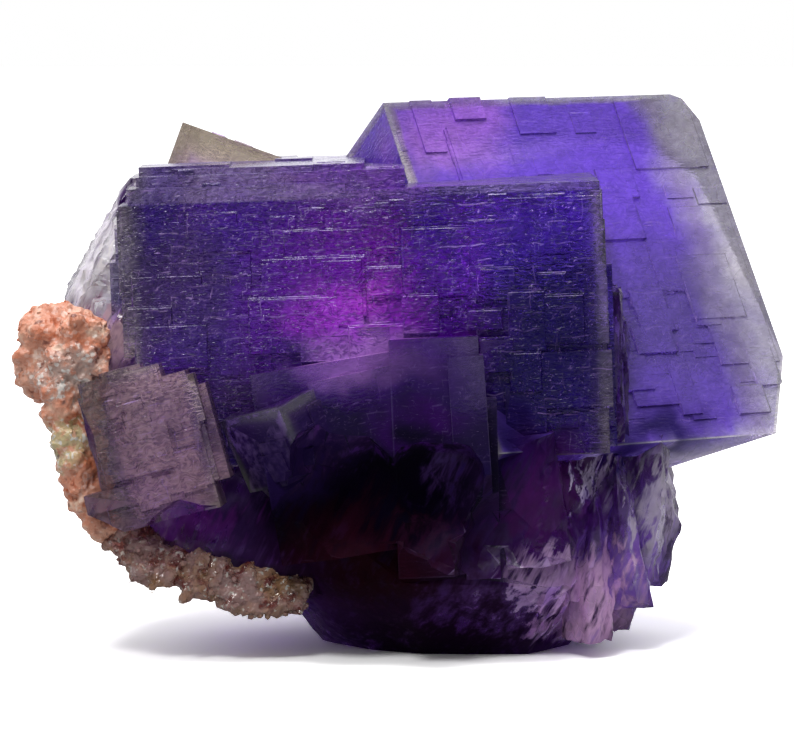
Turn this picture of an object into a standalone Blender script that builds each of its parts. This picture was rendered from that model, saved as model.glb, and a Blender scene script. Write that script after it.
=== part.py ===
"""A cluster of intergrown cubic fluorite crystals with an iron-stained crust and a quartz rim.

Metres, +Z up. The origin is on the flat cut that the specimen rests on.
+X runs along the width of the largest face, which looks towards -Y.
"""

import math
import random

import bmesh
import bpy
from mathutils import Matrix, Vector, noise

MM = 0.001

# Driving dimensions, in millimetres
SURFACE_GAP = 0.3          # clearance between the fluorite and what is grown on it
PLATE_ROOT = 1.1           # how far a growth plate reaches back into its crystal
UNEVEN = 0.05              # how far the edges of a placed ledge stray from their sizes
MERGE = 0.000002           # metres within which corners count as one
REACH = 60.0               # half side of a block that is larger than the whole specimen
SAME_PLANE = 0.05          # degrees between faces that count as one

MAIN_CORNER = (-16.5, -10.0, 26.9)     # upper left corner of the large front face
MAIN_SIZE = (28.3, 19.0, 15.5)         # width, depth, height
MAIN_TURN = (0.0, 0.0, -2.0)           # yaw, pitch, roll in degrees

RIGHT_CORNER = (-1.05, 0.0, 32.7)
RIGHT_SIZE = (21.8, 12.0, 24.3)
RIGHT_TURN = (27.0, -34.0, -1.0)

LOWER_CORNER = (-18.2, -12.0, 17.0)    # the small crystal at the lower left
LOWER_SIZE = (6.0, 11.0, 9.2)
LOWER_TURN = (-4.0, -2.0, -15.0)

BACK_CORNER = (-13.4, 4.0, 31.4)       # the pale crystal that shows over the top
BACK_SIZE = (13.5, 10.5, 15.0)
BACK_TURN = (-9.0, -8.0, 19.0)

CORNER_CUBE_CORNER = (-7.0, -14.9, 15.5)
CORNER_CUBE_SIZE = (4.2, 5.6, 4.6)
CORNER_CUBE_TURN = (41.0, -12.0, -20.0)

REAR_CORNER = (4.5, 15.2, 20.5)        # the crystal on the far side
REAR_SIZE = (15.0, 12.0, 14.0)
REAR_TURN = (196.0, -14.0, 7.0)

# Ledges of the large face: left, right, bottom, top and height above the face
MAIN_LEDGES = (
    (8.2, 14.3, -6.9, -3.3, 0.26),
    (7.4, 12.6, -8.9, -5.6, 0.44),
    (4.9, 8.3, -8.3, -5.1, 0.20),
    (0.6, 4.7, -7.0, -4.1, 0.16),
    (0.3, 2.9, -8.4, -5.9, 0.30),
    (0.7, 4.9, -9.6, -7.0, 0.40),
    (9.6, 14.2, -4.6, -1.7, 0.12),
    (11.7, 14.1, -7.4, -3.5, 0.36),
    (-0.1, 3.8, -5.2, -0.3, 0.10),
    (14.1, 16.0, -5.4, -3.4, 0.22),
    (14.4, 16.4, -5.7, -4.0, 0.42),
    (16.5, 20.4, -5.9, -1.8, 0.30),
    (20.4, 24.0, -4.5, -1.4, 0.18),
    (20.0, 23.4, -2.2, -0.4, 0.10),
    (20.8, 23.0, -6.2, -4.3, 0.34),
    (22.5, 28.2, -3.6, -0.2, 0.14),
    (24.3, 26.0, -6.6, -4.7, 0.26),
    (25.9, 28.4, -9.0, -5.2, 0.20),
    (22.6, 24.7, -9.2, -5.7, 0.48),
    (24.5, 27.0, -8.8, -6.0, 0.40),
    (20.2, 22.2, -7.9, -6.7, 0.52),
    (16.4, 18.5, -8.0, -5.7, 0.46),
    (18.4, 20.8, -9.6, -7.2, 0.30),
    (20.9, 22.8, -10.4, -8.4, 0.60),
    (22.6, 24.4, -11.6, -9.3, 0.52),
    (24.3, 28.6, -12.6, -9.4, 0.36),
    (10.4, 13.4, -9.4, -7.6, 0.56),
    (13.2, 16.4, -9.6, -7.4, 0.62),
)

# Terraces that climb back from the top of the large face: left, right, front, top
MAIN_TERRACES = (
    (0.5, 13.3, 0.9, 0.9),
    (1.0, 16.8, 2.1, 1.6),
    (3.0, 14.4, 3.8, 1.9),
    (16.2, 28.2, 1.0, 0.5),
    (9.0, 17.4, 0.5, 0.4),
)

TERRACE_FOOT = -3.0                    # level that the terraces reach down to
TERRACE_BACK = (1.0, 0.3)              # how far the first terrace stops before the back, and each next one more

# Thin plates stacked on the sides of the large crystal: left, right, front, bottom, top
MAIN_SIDE_PLATES = (
    (-0.7, 1.0, 0.8, -8.6, -3.3),
    (-0.4, 1.0, 2.2, -10.5, -1.4),
    (27.5, 28.8, 0.7, -15.2, -4.4),
    (27.5, 29.2, 1.5, -15.0, -6.1),
    (27.5, 29.6, 2.6, -14.8, -8.0),
)

SIDE_BACK = (2.0, 0.7)                 # the same for the side plates

# Ledges of the right crystal, whose lower edges are the ones that show
RIGHT_LEDGES = (
    (12.9, 15.5, -7.5, -5.4, 0.22),
    (12.0, 14.9, -10.5, -7.2, 0.30),
    (12.4, 14.8, -16.9, -13.9, 0.28),
    (10.2, 12.1, -18.2, -15.2, 0.20),
    (11.7, 14.4, -18.5, -16.6, 0.36),
    (13.4, 14.7, -22.7, -19.2, 0.20),
    (9.9, 12.0, -20.8, -18.4, 0.26),
    (16.0, 21.2, -5.4, -0.5, 0.14),
    (14.8, 17.4, -14.1, -10.8, 0.18),
    (17.2, 21.4, -19.4, -8.2, 0.12),
)

# Planes that bound the right crystal beside its cube faces, in its own frame: point and normal
RIGHT_CLEAVAGES = (
    ((19.4, 0.0, -24.3), (0.507, 0.830, -0.233)),
    ((19.9, 0.0, 0.2), (0.42, 0.20, 0.88)),
    ((21.9, 0.0, -2.2), (0.88, 0.25, 0.40)),
)

CLEAVAGE_RETREAT = (0.05, 0.3)         # how far plates stay behind those planes

# Blocks of the crystal group in front of the large face: left, right, front, bottom, top, roll
FRONT_BLOCKS = (
    (-8.8, 0.4, -12.3, 5.8, 17.2, -9.5),
    (-0.7, 4.5, -12.8, 5.4, 19.3, -2.5),
    (2.7, 4.8, -13.1, 8.0, 18.3, -4.0),
    (3.6, 5.6, -12.1, 5.2, 15.8, -1.5),
    (-5.4, -0.2, -12.9, 6.6, 16.8, -12.0),
    (5.2, 9.0, -11.0, 5.6, 13.2, -8.0),
)

# Depth of the blocks in front of the large face, and how much more each next one has
FRONT_DEPTH = 8.0
FRONT_DEPTH_STEP = 0.4
FRONT_PITCH = -3.0

# Blocks that make the lower left crystal: left, right, front, retreat at the back, bottom, top
LOWER_BLOCKS = (
    (-0.9, 5.6, 0.0, 0.0, -9.2, -1.0),
    (-0.7, 4.2, 0.08, 0.4, -3.0, -0.2),
    (0.6, 3.1, 0.42, 0.5, -3.0, 0.05),
    (3.0, 5.9, 0.25, 0.8, -7.6, -1.7),
    (3.0, 6.5, 0.65, 1.1, -7.7, -2.0),
    (-0.5, 3.8, -0.34, 1.5, -6.25, -3.4),
    (-2.1, 4.6, 0.22, 1.8, -8.9, -6.9),
    (-2.0, 5.4, -0.18, 2.1, -7.75, -6.6),
)
LOWER_CLEAVAGE = ((-2.1, 0.0, -7.7), (-0.62, 0.0, -0.78))

# Seeded growth plates: face, number, lengths of their sides, heights above the face, seed
MAIN_PLATES = (
    ("front", 26, (1.2, 4.2), (0.06, 0.34), 11),
    ("left", 9, (1.6, 5.0), (0.10, 0.45), 12),
    ("right", 5, (1.6, 5.0), (0.10, 0.40), 13),
    ("back", 12, (2.0, 6.0), (0.10, 0.50), 14),
)
TERRACE_PLATES = ("top", 8, (2.0, 5.5), (0.05, 0.35), 15)
TERRACE_PLACE = (1.0, 3.0, 1.7)        # where the plates on the terraces start
TERRACE_LESS = (12.0, 2.0)             # how much less wide and deep the terraces are than the crystal
RIGHT_PLATES = (
    ("front", 20, (1.4, 4.6), (0.05, 0.24), 21),
    ("top", 8, (1.6, 5.5), (0.08, 0.36), 22),
    ("left", 6, (1.4, 4.5), (0.08, 0.40), 23),
    ("back", 8, (2.0, 6.0), (0.10, 0.40), 24),
)
LOWER_PLATES = (("front", 12, (0.9, 2.8), (0.05, 0.24), 31),)
PALE_PLATES = (
    ("top", 5, (1.5, 5.0), (0.08, 0.30), 41),
    ("back", 9, (1.8, 5.5), (0.10, 0.40), 42),
    ("left", 5, (1.5, 4.5), (0.10, 0.35), 43),
)
REAR_PLATES = (
    ("front", 16, (1.6, 5.5), (0.10, 0.45), 44),
    ("top", 5, (1.6, 4.5), (0.10, 0.35), 45),
    ("left", 4, (1.6, 4.5), (0.10, 0.35), 46),
)
CUBE_PLATES = (
    ("front", 3, (1.0, 2.4), (0.06, 0.2), 61),
    ("left", 3, (1.0, 2.4), (0.06, 0.2), 62),
)

# Broken lumps of the root: name, sides, roughness, seed, rings (height, left, right, front, back)
ROOT_LUMPS = (
    ("root", 11, 0.55, 3, (
        (-1.0, -3.6, 10.2, -6.2, 9.6),
        (1.8, -5.2, 11.4, -8.6, 11.0),
        (5.0, -8.2, 12.6, -11.0, 12.0),
        (11.0, -11.5, 14.2, -11.2, 12.0),
        (15.5, -9.5, 12.0, -9.0, 10.5),
    )),
    ("right_root", 9, 0.5, 8, (
        (1.2, 7.5, 12.6, -5.5, 5.5),
        (5.2, 8.0, 15.6, -7.0, 7.0),
        (9.4, 7.0, 16.0, -7.8, 7.0),
        (13.6, 6.0, 15.0, -8.0, 6.0),
    )),
    ("left_root", 11, 0.45, 5, (
        (3.4, -11.4, -3.0, -8.8, 5.5),
        (4.8, -14.2, -4.0, -9.3, 6.5),
        (6.8, -17.0, -4.0, -10.1, 7.5),
        (9.2, -18.5, -4.0, -9.9, 8.5),
        (12.2, -19.2, -4.0, -9.4, 8.0),
        (15.6, -18.7, -4.0, -8.8, 7.5),
    )),
    ("pale_wedge", 9, 0.45, 6, (
        (16.2, -18.0, -10.0, -5.6, 5.0),
        (19.0, -20.4, -10.0, -6.4, 4.0),
        (21.8, -20.2, -11.0, -5.8, 3.2),
        (25.2, -18.0, -12.0, -5.4, 2.6),
        (28.0, -16.4, -12.0, -4.6, 2.0),
    )),
    ("grey_shoulder", 9, 0.3, 7, (
        (15.5, -18.6, -13.0, -10.6, 2.0),
        (18.5, -19.0, -13.0, -10.2, 2.0),
        (21.2, -18.6, -14.0, -9.2, 1.0),
    )),
)

# Splinters of the broken right side: x, y, foot, head, half width at foot and head, lean to the right
SPLINTERS = (
    (9.6, -8.6, 3.4, 12.9, 1.5, 0.7, -0.9),
    (11.4, -8.9, 1.2, 9.4, 1.7, 0.5, 0.4),
    (11.7, -7.9, 5.2, 13.8, 0.6, 1.3, 0.7),
    (13.2, -8.0, 3.0, 12.2, 1.3, 0.4, -0.5),
    (13.4, -6.4, 1.6, 8.0, 1.5, 0.9, 0.9),
    (14.8, -6.6, 4.2, 12.9, 0.7, 1.2, 0.2),
    (15.6, -4.8, 3.8, 11.2, 1.1, 0.5, 0.3),
    (15.0, -2.4, 4.8, 11.6, 1.3, 0.8, 0.9),
)
SPLINTER_DEPTH = 3.4
SPLINTER_BELLY = 0.4
SPLINTER_ROUGHNESS = 0.34

# Scoops of shell-like fracture: centre and radius
FRACTURES = (
    (10.2, -15.2, 3.2, 5.2),
    (-12.6, -15.9, 6.0, 4.9),
    (-3.4, -15.4, 0.8, 4.4),
    (5.0, -15.2, 1.2, 4.2),
    (-3.0, -16.5, 10.2, 5.0),
    (2.9, -16.9, 9.9, 5.1),
    (-6.9, -15.9, 7.6, 4.4),
    (6.4, -15.0, 7.0, 4.3),
    (-12.5, 14.5, 6.5, 6.4),
    (13.8, 12.5, 5.2, 5.6),
    (19.4, -1.0, 6.6, 2.6),
)

# Centre and half width of the lumps of the crust
CRUST_LUMPS = (
    (-20.8, -9.0, 19.3, 1.75),
    (-21.0, -8.6, 17.5, 1.85),
    (-19.1, -10.6, 19.7, 1.05),
    (-19.6, -10.6, 18.0, 1.35),
    (-19.7, -10.4, 16.3, 1.55),
    (-19.8, -10.4, 14.8, 1.30),
    (-19.4, -10.8, 13.4, 1.20),
    (-19.1, -10.9, 12.0, 1.10),
    (-18.9, -10.8, 10.7, 0.95),
    (-18.7, -10.7, 9.5, 0.85),
    (-18.1, -10.6, 8.3, 0.75),
    (-20.4, -5.6, 18.2, 1.70),
    (-20.2, -3.2, 16.6, 1.60),
    (-20.0, -6.4, 15.2, 1.50),
    (-19.9, -5.2, 13.2, 1.40),
)
CRUST_BUDS = 2
CRUST_BUD_SHARE = (0.32, 0.55)         # half width of a bud as a share of its lump's
CRUST_BUD_PLACE = 0.8                  # where a bud sits, as a share of its lump's half width
CRUST_SEED = 23

# Course of the quartz rim along the lower left edge, and its half width
RIM_COURSE = (
    (-16.9, -10.5, 7.1, 0.60),
    (-15.9, -10.4, 6.2, 0.70),
    (-14.8, -10.3, 5.5, 0.85),
    (-13.6, -10.3, 5.1, 0.90),
    (-12.4, -10.2, 4.8, 0.95),
    (-11.1, -10.2, 4.4, 1.05),
    (-9.8, -10.0, 3.9, 1.15),
    (-8.5, -9.7, 3.6, 1.05),
    (-7.3, -9.5, 3.4, 0.90),
    (-6.3, -9.3, 3.3, 0.70),
)
RIM_POINT_COUNT = 24
RIM_POINT_WIDTH = (0.55, 1.10)
RIM_POINT_LENGTH = (0.8, 1.6)
RIM_SEED = 19
COARSE_LUMP = 1.25                     # half width below which a lump has fewer facets


# Places and turns

def turned(turn):
    """The rotation for a yaw, a pitch and a roll in degrees."""
    yaw, pitch, roll = (math.radians(angle) for angle in turn)
    return (
        Matrix.Rotation(yaw, 4, "Z")
        @ Matrix.Rotation(pitch, 4, "X")
        @ Matrix.Rotation(roll, 4, "Y")
    )


def seat(corner, turn):
    """The frame of a crystal: origin in its upper left front corner."""
    return Matrix.Translation(Vector(corner)) @ turned(turn)


# Mesh helpers

def new_object(name, build):
    """An object whose mesh is filled by build(bm), with the mesh given in millimetres."""
    bm = bmesh.new()
    build(bm)
    bmesh.ops.scale(bm, vec=(MM, MM, MM), verts=bm.verts)
    bmesh.ops.triangulate(bm, faces=bm.faces)
    bmesh.ops.recalc_face_normals(bm, faces=bm.faces)
    mesh = bpy.data.meshes.new(name)
    bm.to_mesh(mesh)
    bm.free()
    body = bpy.data.objects.new(name, mesh)
    bpy.context.scene.collection.objects.link(body)
    return body


def as_cutter(body):
    """Keep a helper solid out of the finished model."""
    body.hide_render = True
    body.display_type = "WIRE"
    return body


def block(frame, left, right, front, back, bottom, top, name="block"):
    """A box between six planes of a crystal's frame."""
    size = Vector((right - left, back - front, top - bottom))
    centre = Vector(((left + right) / 2, (front + back) / 2, (bottom + top) / 2))

    def build(bm):
        bmesh.ops.create_cube(bm, size=1.0)
        bmesh.ops.scale(bm, vec=size, verts=bm.verts)
        bmesh.ops.translate(bm, vec=centre, verts=bm.verts)
        bmesh.ops.transform(bm, matrix=frame, verts=bm.verts)

    return as_cutter(new_object(name, build))


def cleave(body, point, normal):
    """Cut a convex body along a plane and drop what lies beyond it."""
    bm = bmesh.new()
    bm.from_mesh(body.data)
    cut = bmesh.ops.bisect_plane(
        bm,
        geom=bm.verts[:] + bm.edges[:] + bm.faces[:],
        plane_co=Vector(point) * MM,
        plane_no=Vector(normal),
        dist=1e-7,
        clear_outer=True,
    )
    edges = [part for part in cut["geom_cut"] if isinstance(part, bmesh.types.BMEdge)]
    bmesh.ops.edgenet_fill(bm, edges=edges)
    bmesh.ops.triangulate(bm, faces=bm.faces)
    bmesh.ops.recalc_face_normals(bm, faces=bm.faces)
    bm.to_mesh(body.data)
    bm.free()


def cleave_in(body, frame, point, normal):
    """The same, with the plane given in a crystal's own frame."""
    cleave(body, frame @ Vector(point), frame.to_3x3() @ Vector(normal))


def hull(points, name):
    """The convex solid around some points."""

    def build(bm):
        for point in points:
            bm.verts.new(point)
        result = bmesh.ops.convex_hull(bm, input=bm.verts)
        loose = [part for part in result["geom_interior"] if isinstance(part, bmesh.types.BMVert)]
        bmesh.ops.delete(bm, geom=loose, context="VERTS")

    return as_cutter(new_object(name, build))


def broken_block(rings, sides, roughness, seed, name):
    """A broken lump around rings, each given as height, left, right, front and back."""
    rng = random.Random(seed)
    points = []
    for height, left, right, front, back in rings:
        for side in range(sides):
            angle = math.tau * (side + rng.uniform(-0.3, 0.3)) / sides
            across = math.copysign(abs(math.cos(angle)) ** 0.7, math.cos(angle))
            along = math.copysign(abs(math.sin(angle)) ** 0.7, math.sin(angle))
            x = (left + right) / 2 + across * (right - left) / 2
            y = (front + back) / 2 + along * (back - front) / 2
            shake = Vector((rng.uniform(-1, 1), rng.uniform(-1, 1), rng.uniform(-1, 1)))
            points.append(Vector((x, y, height)) + shake * roughness)
    return hull(points, name)


def lump(centre, radius, grow, seed, name, detail=2):
    """A knobbly lump, with every point pushed out by grow."""
    offset = Vector((seed * 3.7, seed * 1.9, seed * 5.3))

    def build(bm):
        bmesh.ops.create_icosphere(bm, subdivisions=detail, radius=1.0)
        for vert in bm.verts:
            way = vert.co.normalized()
            broad = 0.26 * noise.noise(way * 1.3 + offset)
            fine = 0.16 * noise.noise(way * 3.1 + offset)
            swell = 1.0 + broad + fine
            vert.co = Vector(centre) + way * (radius * swell + grow)

    return as_cutter(new_object(name, build))


def quartz_point(centre, way, width, length, grow, name):
    """A six-sided prism that ends in a pyramid, pointing along way."""
    frame = way.to_track_quat("Z", "X").to_matrix().to_4x4()
    radius = width / 2 + grow
    shoulder = length * 0.62
    tip = length + grow * 1.6

    def build(bm):
        foot = [bm.verts.new(spot) for spot in six_sides(radius, -0.5)]
        rim = [bm.verts.new(spot) for spot in six_sides(radius, shoulder)]
        top = bm.verts.new((0.0, 0.0, tip))
        bm.faces.new(list(reversed(foot)))
        for side in range(6):
            after = (side + 1) % 6
            bm.faces.new((foot[side], foot[after], rim[after], rim[side]))
            bm.faces.new((rim[side], rim[after], top))
        bmesh.ops.transform(bm, matrix=Matrix.Translation(centre) @ frame, verts=bm.verts)

    return as_cutter(new_object(name, build))


def six_sides(radius, height):
    """The corners of a hexagon."""
    return [
        (radius * math.cos(math.tau * side / 6), radius * math.sin(math.tau * side / 6), height)
        for side in range(6)
    ]


# Booleans

def combine(body, operation, others):
    """Join or cut with a set of solids, and keep the plain result."""
    group = bpy.data.collections.new(body.name + "_" + operation.lower())
    for other in others:
        group.objects.link(other)
    modifier = body.modifiers.new("combine", "BOOLEAN")
    modifier.operation = operation
    modifier.solver = "EXACT"
    modifier.operand_type = "COLLECTION"
    modifier.collection = group
    bpy.context.view_layer.update()
    evaluated = body.evaluated_get(bpy.context.evaluated_depsgraph_get())
    mesh = bpy.data.meshes.new_from_object(evaluated)
    body.modifiers.clear()
    body.data = mesh
    triangulate(body)
    bpy.data.collections.remove(group)
    for other in others:
        bpy.data.objects.remove(other, do_unlink=True)
    return body


def triangulate(body):
    """Turn a solid's flat faces into triangles, so that the next cut reads them exactly."""
    bm = bmesh.new()
    bm.from_mesh(body.data)
    bmesh.ops.triangulate(bm, faces=bm.faces)
    bm.to_mesh(body.data)
    bm.free()


def keep_largest(body):
    """Drop the crumbs that a cut leaves loose beside the main solid."""
    bm = bmesh.new()
    bm.from_mesh(body.data)
    bmesh.ops.remove_doubles(bm, verts=bm.verts, dist=MERGE)
    waiting = set(bm.faces)
    largest = []
    while waiting:
        island = [waiting.pop()]
        for face in island:
            for edge in face.edges:
                for neighbour in edge.link_faces:
                    if neighbour in waiting:
                        waiting.discard(neighbour)
                        island.append(neighbour)
        if len(island) > len(largest):
            largest = island
    kept = set(largest)
    bmesh.ops.delete(bm, geom=[face for face in bm.faces if face not in kept], context="FACES")
    bmesh.ops.dissolve_limit(
        bm,
        angle_limit=math.radians(SAME_PLANE),
        verts=bm.verts,
        edges=bm.edges,
        delimit={"NORMAL"},
    )
    bmesh.ops.triangulate(bm, faces=bm.faces)
    bmesh.ops.delete(bm, geom=[edge for edge in bm.edges if not edge.link_faces], context="EDGES")
    bmesh.ops.delete(bm, geom=[vert for vert in bm.verts if not vert.link_faces], context="VERTS")
    bm.to_mesh(body.data)
    bm.free()


def finish(body, name, material):
    """Name a finished solid and give it its surface."""
    body.name = name
    body.data.name = name
    body.hide_render = False
    body.display_type = "TEXTURED"
    body.data.materials.clear()
    body.data.materials.append(material)
    for polygon in body.data.polygons:
        polygon.material_index = 0
        polygon.use_smooth = False


# Materials

def plain_material(name, colour, roughness, transmission=0.0, ior=1.45):
    """A Principled surface with one colour."""
    material = bpy.data.materials.new(name)
    material.use_nodes = True
    shader = material.node_tree.nodes["Principled BSDF"]
    shader.inputs["Base Color"].default_value = (*colour, 1.0)
    shader.inputs["Roughness"].default_value = roughness
    shader.inputs["Metallic"].default_value = 0.0
    shader.inputs["Transmission Weight"].default_value = transmission
    shader.inputs["IOR"].default_value = ior
    material.diffuse_color = (*colour, 1.0)
    return material


# Growth plates

def plate_on(frame, size, face, first, second, proud):
    """A thin rectangular plate on one face, given by its two spans and its height."""
    width, depth, height = size
    spans = {
        "front": (first, (-proud, PLATE_ROOT), second),
        "back": (first, (depth - PLATE_ROOT, depth + proud), second),
        "left": ((-proud, PLATE_ROOT), first, second),
        "right": ((width - PLATE_ROOT, width + proud), first, second),
        "top": (first, second, (-PLATE_ROOT, proud)),
        "bottom": (first, second, (-height - proud, -height + PLATE_ROOT)),
    }
    across, into, upright = spans[face]
    return block(frame, *across, *into, *upright, name="plate")


def parquet(frame, size, face, count, sides, proud, seed):
    """Seeded plates spread over one face, a little past its edges too."""
    rng = random.Random(seed)
    width, depth, height = size
    ranges = {
        "front": ((0.0, width), (-height, 0.0)),
        "back": ((0.0, width), (-height, 0.0)),
        "left": ((0.0, depth), (-height, 0.0)),
        "right": ((0.0, depth), (-height, 0.0)),
        "top": ((0.0, width), (0.0, depth)),
        "bottom": ((0.0, width), (0.0, depth)),
    }
    plates = []
    for _ in range(count):
        spans = []
        for low, high in ranges[face]:
            side = rng.uniform(*sides)
            start = rng.uniform(low - 0.15, high - side + 0.15)
            spans.append((start, start + side))
        height_above = rng.uniform(*proud)
        plates.append(plate_on(frame, size, face, spans[0], spans[1], height_above))
    return plates


def plates_on(frame, size, plates):
    """All the seeded plates of one crystal."""
    solids = []
    for face, count, sides, proud, seed in plates:
        solids += parquet(frame, size, face, count, sides, proud, seed)
    return solids


def uneven(values, rng):
    """Sizes that stray a little, as grown edges do."""
    return [value + rng.uniform(-UNEVEN, UNEVEN) for value in values]


def ledges_on(frame, size, ledges, seed):
    """The placed ledges of a front face."""
    rng = random.Random(seed)
    plates = []
    for left, right, bottom, top, proud in ledges:
        left, right, bottom, top = uneven((left, right, bottom, top), rng)
        plates.append(plate_on(frame, size, "front", (left, right), (bottom, top), proud))
    return plates


# Crystals

def crystal(corner, size, turn, name):
    """The plain block of one crystal, and its frame."""
    frame = seat(corner, turn)
    width, depth, height = size
    return block(frame, 0.0, width, 0.0, depth, -height, 0.0, name=name), frame


def main_crystal():
    """The large crystal whose face fills the front."""
    body, frame = crystal(MAIN_CORNER, MAIN_SIZE, MAIN_TURN, "main")
    depth = MAIN_SIZE[1]
    solids = [body]
    rng = random.Random(9)
    for step, (left, right, front, top) in enumerate(MAIN_TERRACES):
        left, right, front, top = uneven((left, right, front, top), rng)
        back = depth - TERRACE_BACK[0] - TERRACE_BACK[1] * step
        solids.append(block(frame, left, right, front, back, TERRACE_FOOT, top, name="terrace"))
    for step, (left, right, front, bottom, top) in enumerate(MAIN_SIDE_PLATES):
        left, right, front, bottom, top = uneven((left, right, front, bottom, top), rng)
        back = depth - SIDE_BACK[0] - SIDE_BACK[1] * step
        solids.append(block(frame, left, right, front, back, bottom, top, name="side"))
    solids += ledges_on(frame, MAIN_SIZE, MAIN_LEDGES, 10)
    solids += plates_on(frame, MAIN_SIZE, MAIN_PLATES)
    terrace_size = (MAIN_SIZE[0] - TERRACE_LESS[0], MAIN_SIZE[1] - TERRACE_LESS[1], MAIN_SIZE[2])
    terrace_frame = frame @ Matrix.Translation(TERRACE_PLACE)
    return solids + plates_on(terrace_frame, terrace_size, (TERRACE_PLATES,))


def right_crystal():
    """The leaning crystal at the right, split along a cleavage at its far side."""
    body, frame = crystal(RIGHT_CORNER, RIGHT_SIZE, RIGHT_TURN, "right")
    solids = [body]
    solids += ledges_on(frame, RIGHT_SIZE, RIGHT_LEDGES, 20)
    solids += plates_on(frame, RIGHT_SIZE, RIGHT_PLATES)
    rng = random.Random(25)
    for number, solid in enumerate(solids):
        for point, normal in RIGHT_CLEAVAGES:
            normal = Vector(normal).normalized()
            retreat = rng.uniform(*CLEAVAGE_RETREAT) if number else 0.0
            cleave_in(solid, frame, Vector(point) - normal * retreat, normal)
    return [solid for solid in solids if len(solid.data.polygons) >= 4]


def lower_crystal():
    """The brownish crystal at the lower left, with a second plate behind its right edge."""
    frame = seat(LOWER_CORNER, LOWER_TURN)
    depth = LOWER_SIZE[1]
    solids = []
    for left, right, front, retreat, bottom, top in LOWER_BLOCKS:
        solids.append(block(frame, left, right, front, depth - retreat, bottom, top, name="lower"))
    for solid in solids:
        cleave_in(solid, frame, *LOWER_CLEAVAGE)
    return solids + plates_on(frame, LOWER_SIZE, LOWER_PLATES)


def back_crystals():
    """The pale crystal at the top and the one on the far side."""
    pale, pale_frame = crystal(BACK_CORNER, BACK_SIZE, BACK_TURN, "pale")
    rear, rear_frame = crystal(REAR_CORNER, REAR_SIZE, REAR_TURN, "rear")
    solids = [pale, rear]
    solids += plates_on(pale_frame, BACK_SIZE, PALE_PLATES)
    solids += plates_on(rear_frame, REAR_SIZE, REAR_PLATES)
    return solids


def front_group():
    """The crystals that stand in front of the large face, and the small cube turned on its corner."""
    solids = []
    for step, (left, right, front, bottom, top, roll) in enumerate(FRONT_BLOCKS):
        frame = seat((left, front, top), (0.0, FRONT_PITCH, roll))
        back = FRONT_DEPTH + FRONT_DEPTH_STEP * step
        solids.append(block(frame, 0.0, right - left, 0.0, back, bottom - top, 0.0, name="front"))
    cube, cube_frame = crystal(CORNER_CUBE_CORNER, CORNER_CUBE_SIZE, CORNER_CUBE_TURN, "corner_cube")
    solids.append(cube)
    return solids + plates_on(cube_frame, CORNER_CUBE_SIZE, CUBE_PLATES)


def broken_base():
    """The broken root of the cluster below the crystals, and the splinters on its right side."""
    solids = [
        broken_block(rings, sides, roughness, seed, name)
        for name, sides, roughness, seed, rings in ROOT_LUMPS
    ]
    for number, (x, y, foot, head, low_half, high_half, lean) in enumerate(SPLINTERS):
        middle = (foot + head) / 2
        half = max(low_half, high_half)
        rings = (
            (foot, x - lean - low_half, x - lean + low_half, y, y + SPLINTER_DEPTH),
            (middle, x - half, x + half, y - SPLINTER_BELLY, y + SPLINTER_DEPTH),
            (head, x + lean - high_half, x + lean + high_half, y, y + SPLINTER_DEPTH),
        )
        solids.append(broken_block(rings, 4, SPLINTER_ROUGHNESS, 200 + number, "splinter"))
    return solids


def fracture_scoops():
    """Rounded cutters for the shell-like fractures."""
    return [
        lump((x, y, z), radius, 0.0, 70 + number, "scoop", detail=3)
        for number, (x, y, z, radius) in enumerate(FRACTURES)
    ]


# Crust and quartz rim

def facets(radius):
    """How often a lump of this half width is divided."""
    return 1 if radius < COARSE_LUMP else 2


def crust_solids(grow):
    """The iron-stained crust: large lumps with smaller buds on them."""
    rng = random.Random(CRUST_SEED)
    solids = []
    for number, (x, y, z, radius) in enumerate(CRUST_LUMPS):
        centre = Vector((x, y, z))
        solids.append(lump(centre, radius, grow, 80 + number, "crust", facets(radius)))
        for bud in range(CRUST_BUDS):
            way = Vector((rng.uniform(-1.0, 0.4), rng.uniform(-1.0, 0.2), rng.uniform(-1.0, 1.0)))
            spot = centre + way.normalized() * (radius * CRUST_BUD_PLACE)
            half = radius * rng.uniform(*CRUST_BUD_SHARE)
            solids.append(lump(spot, half, grow, 300 + 10 * number + bud, "bud", 1))
    return solids


def rim_solids(grow):
    """The quartz rim: a knobbly ridge set with small points."""
    solids = [
        lump((x, y, z), radius, grow, 100 + number, "rim", 1)
        for number, (x, y, z, radius) in enumerate(RIM_COURSE)
    ]
    rng = random.Random(RIM_SEED)
    for _ in range(RIM_POINT_COUNT):
        place = rng.uniform(0.0, len(RIM_COURSE) - 1.001)
        before = int(place)
        start = Vector(RIM_COURSE[before][:3])
        end = Vector(RIM_COURSE[before + 1][:3])
        spot = start.lerp(end, place - before)
        outward = Vector((rng.uniform(-1.0, 0.6), rng.uniform(-1.0, 0.5), rng.uniform(-1.0, 0.3)))
        width = rng.uniform(*RIM_POINT_WIDTH)
        length = rng.uniform(*RIM_POINT_LENGTH)
        solids.append(quartz_point(spot, outward.normalized(), width, length, grow, "rim_point"))
    return solids


# Assembly

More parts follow.
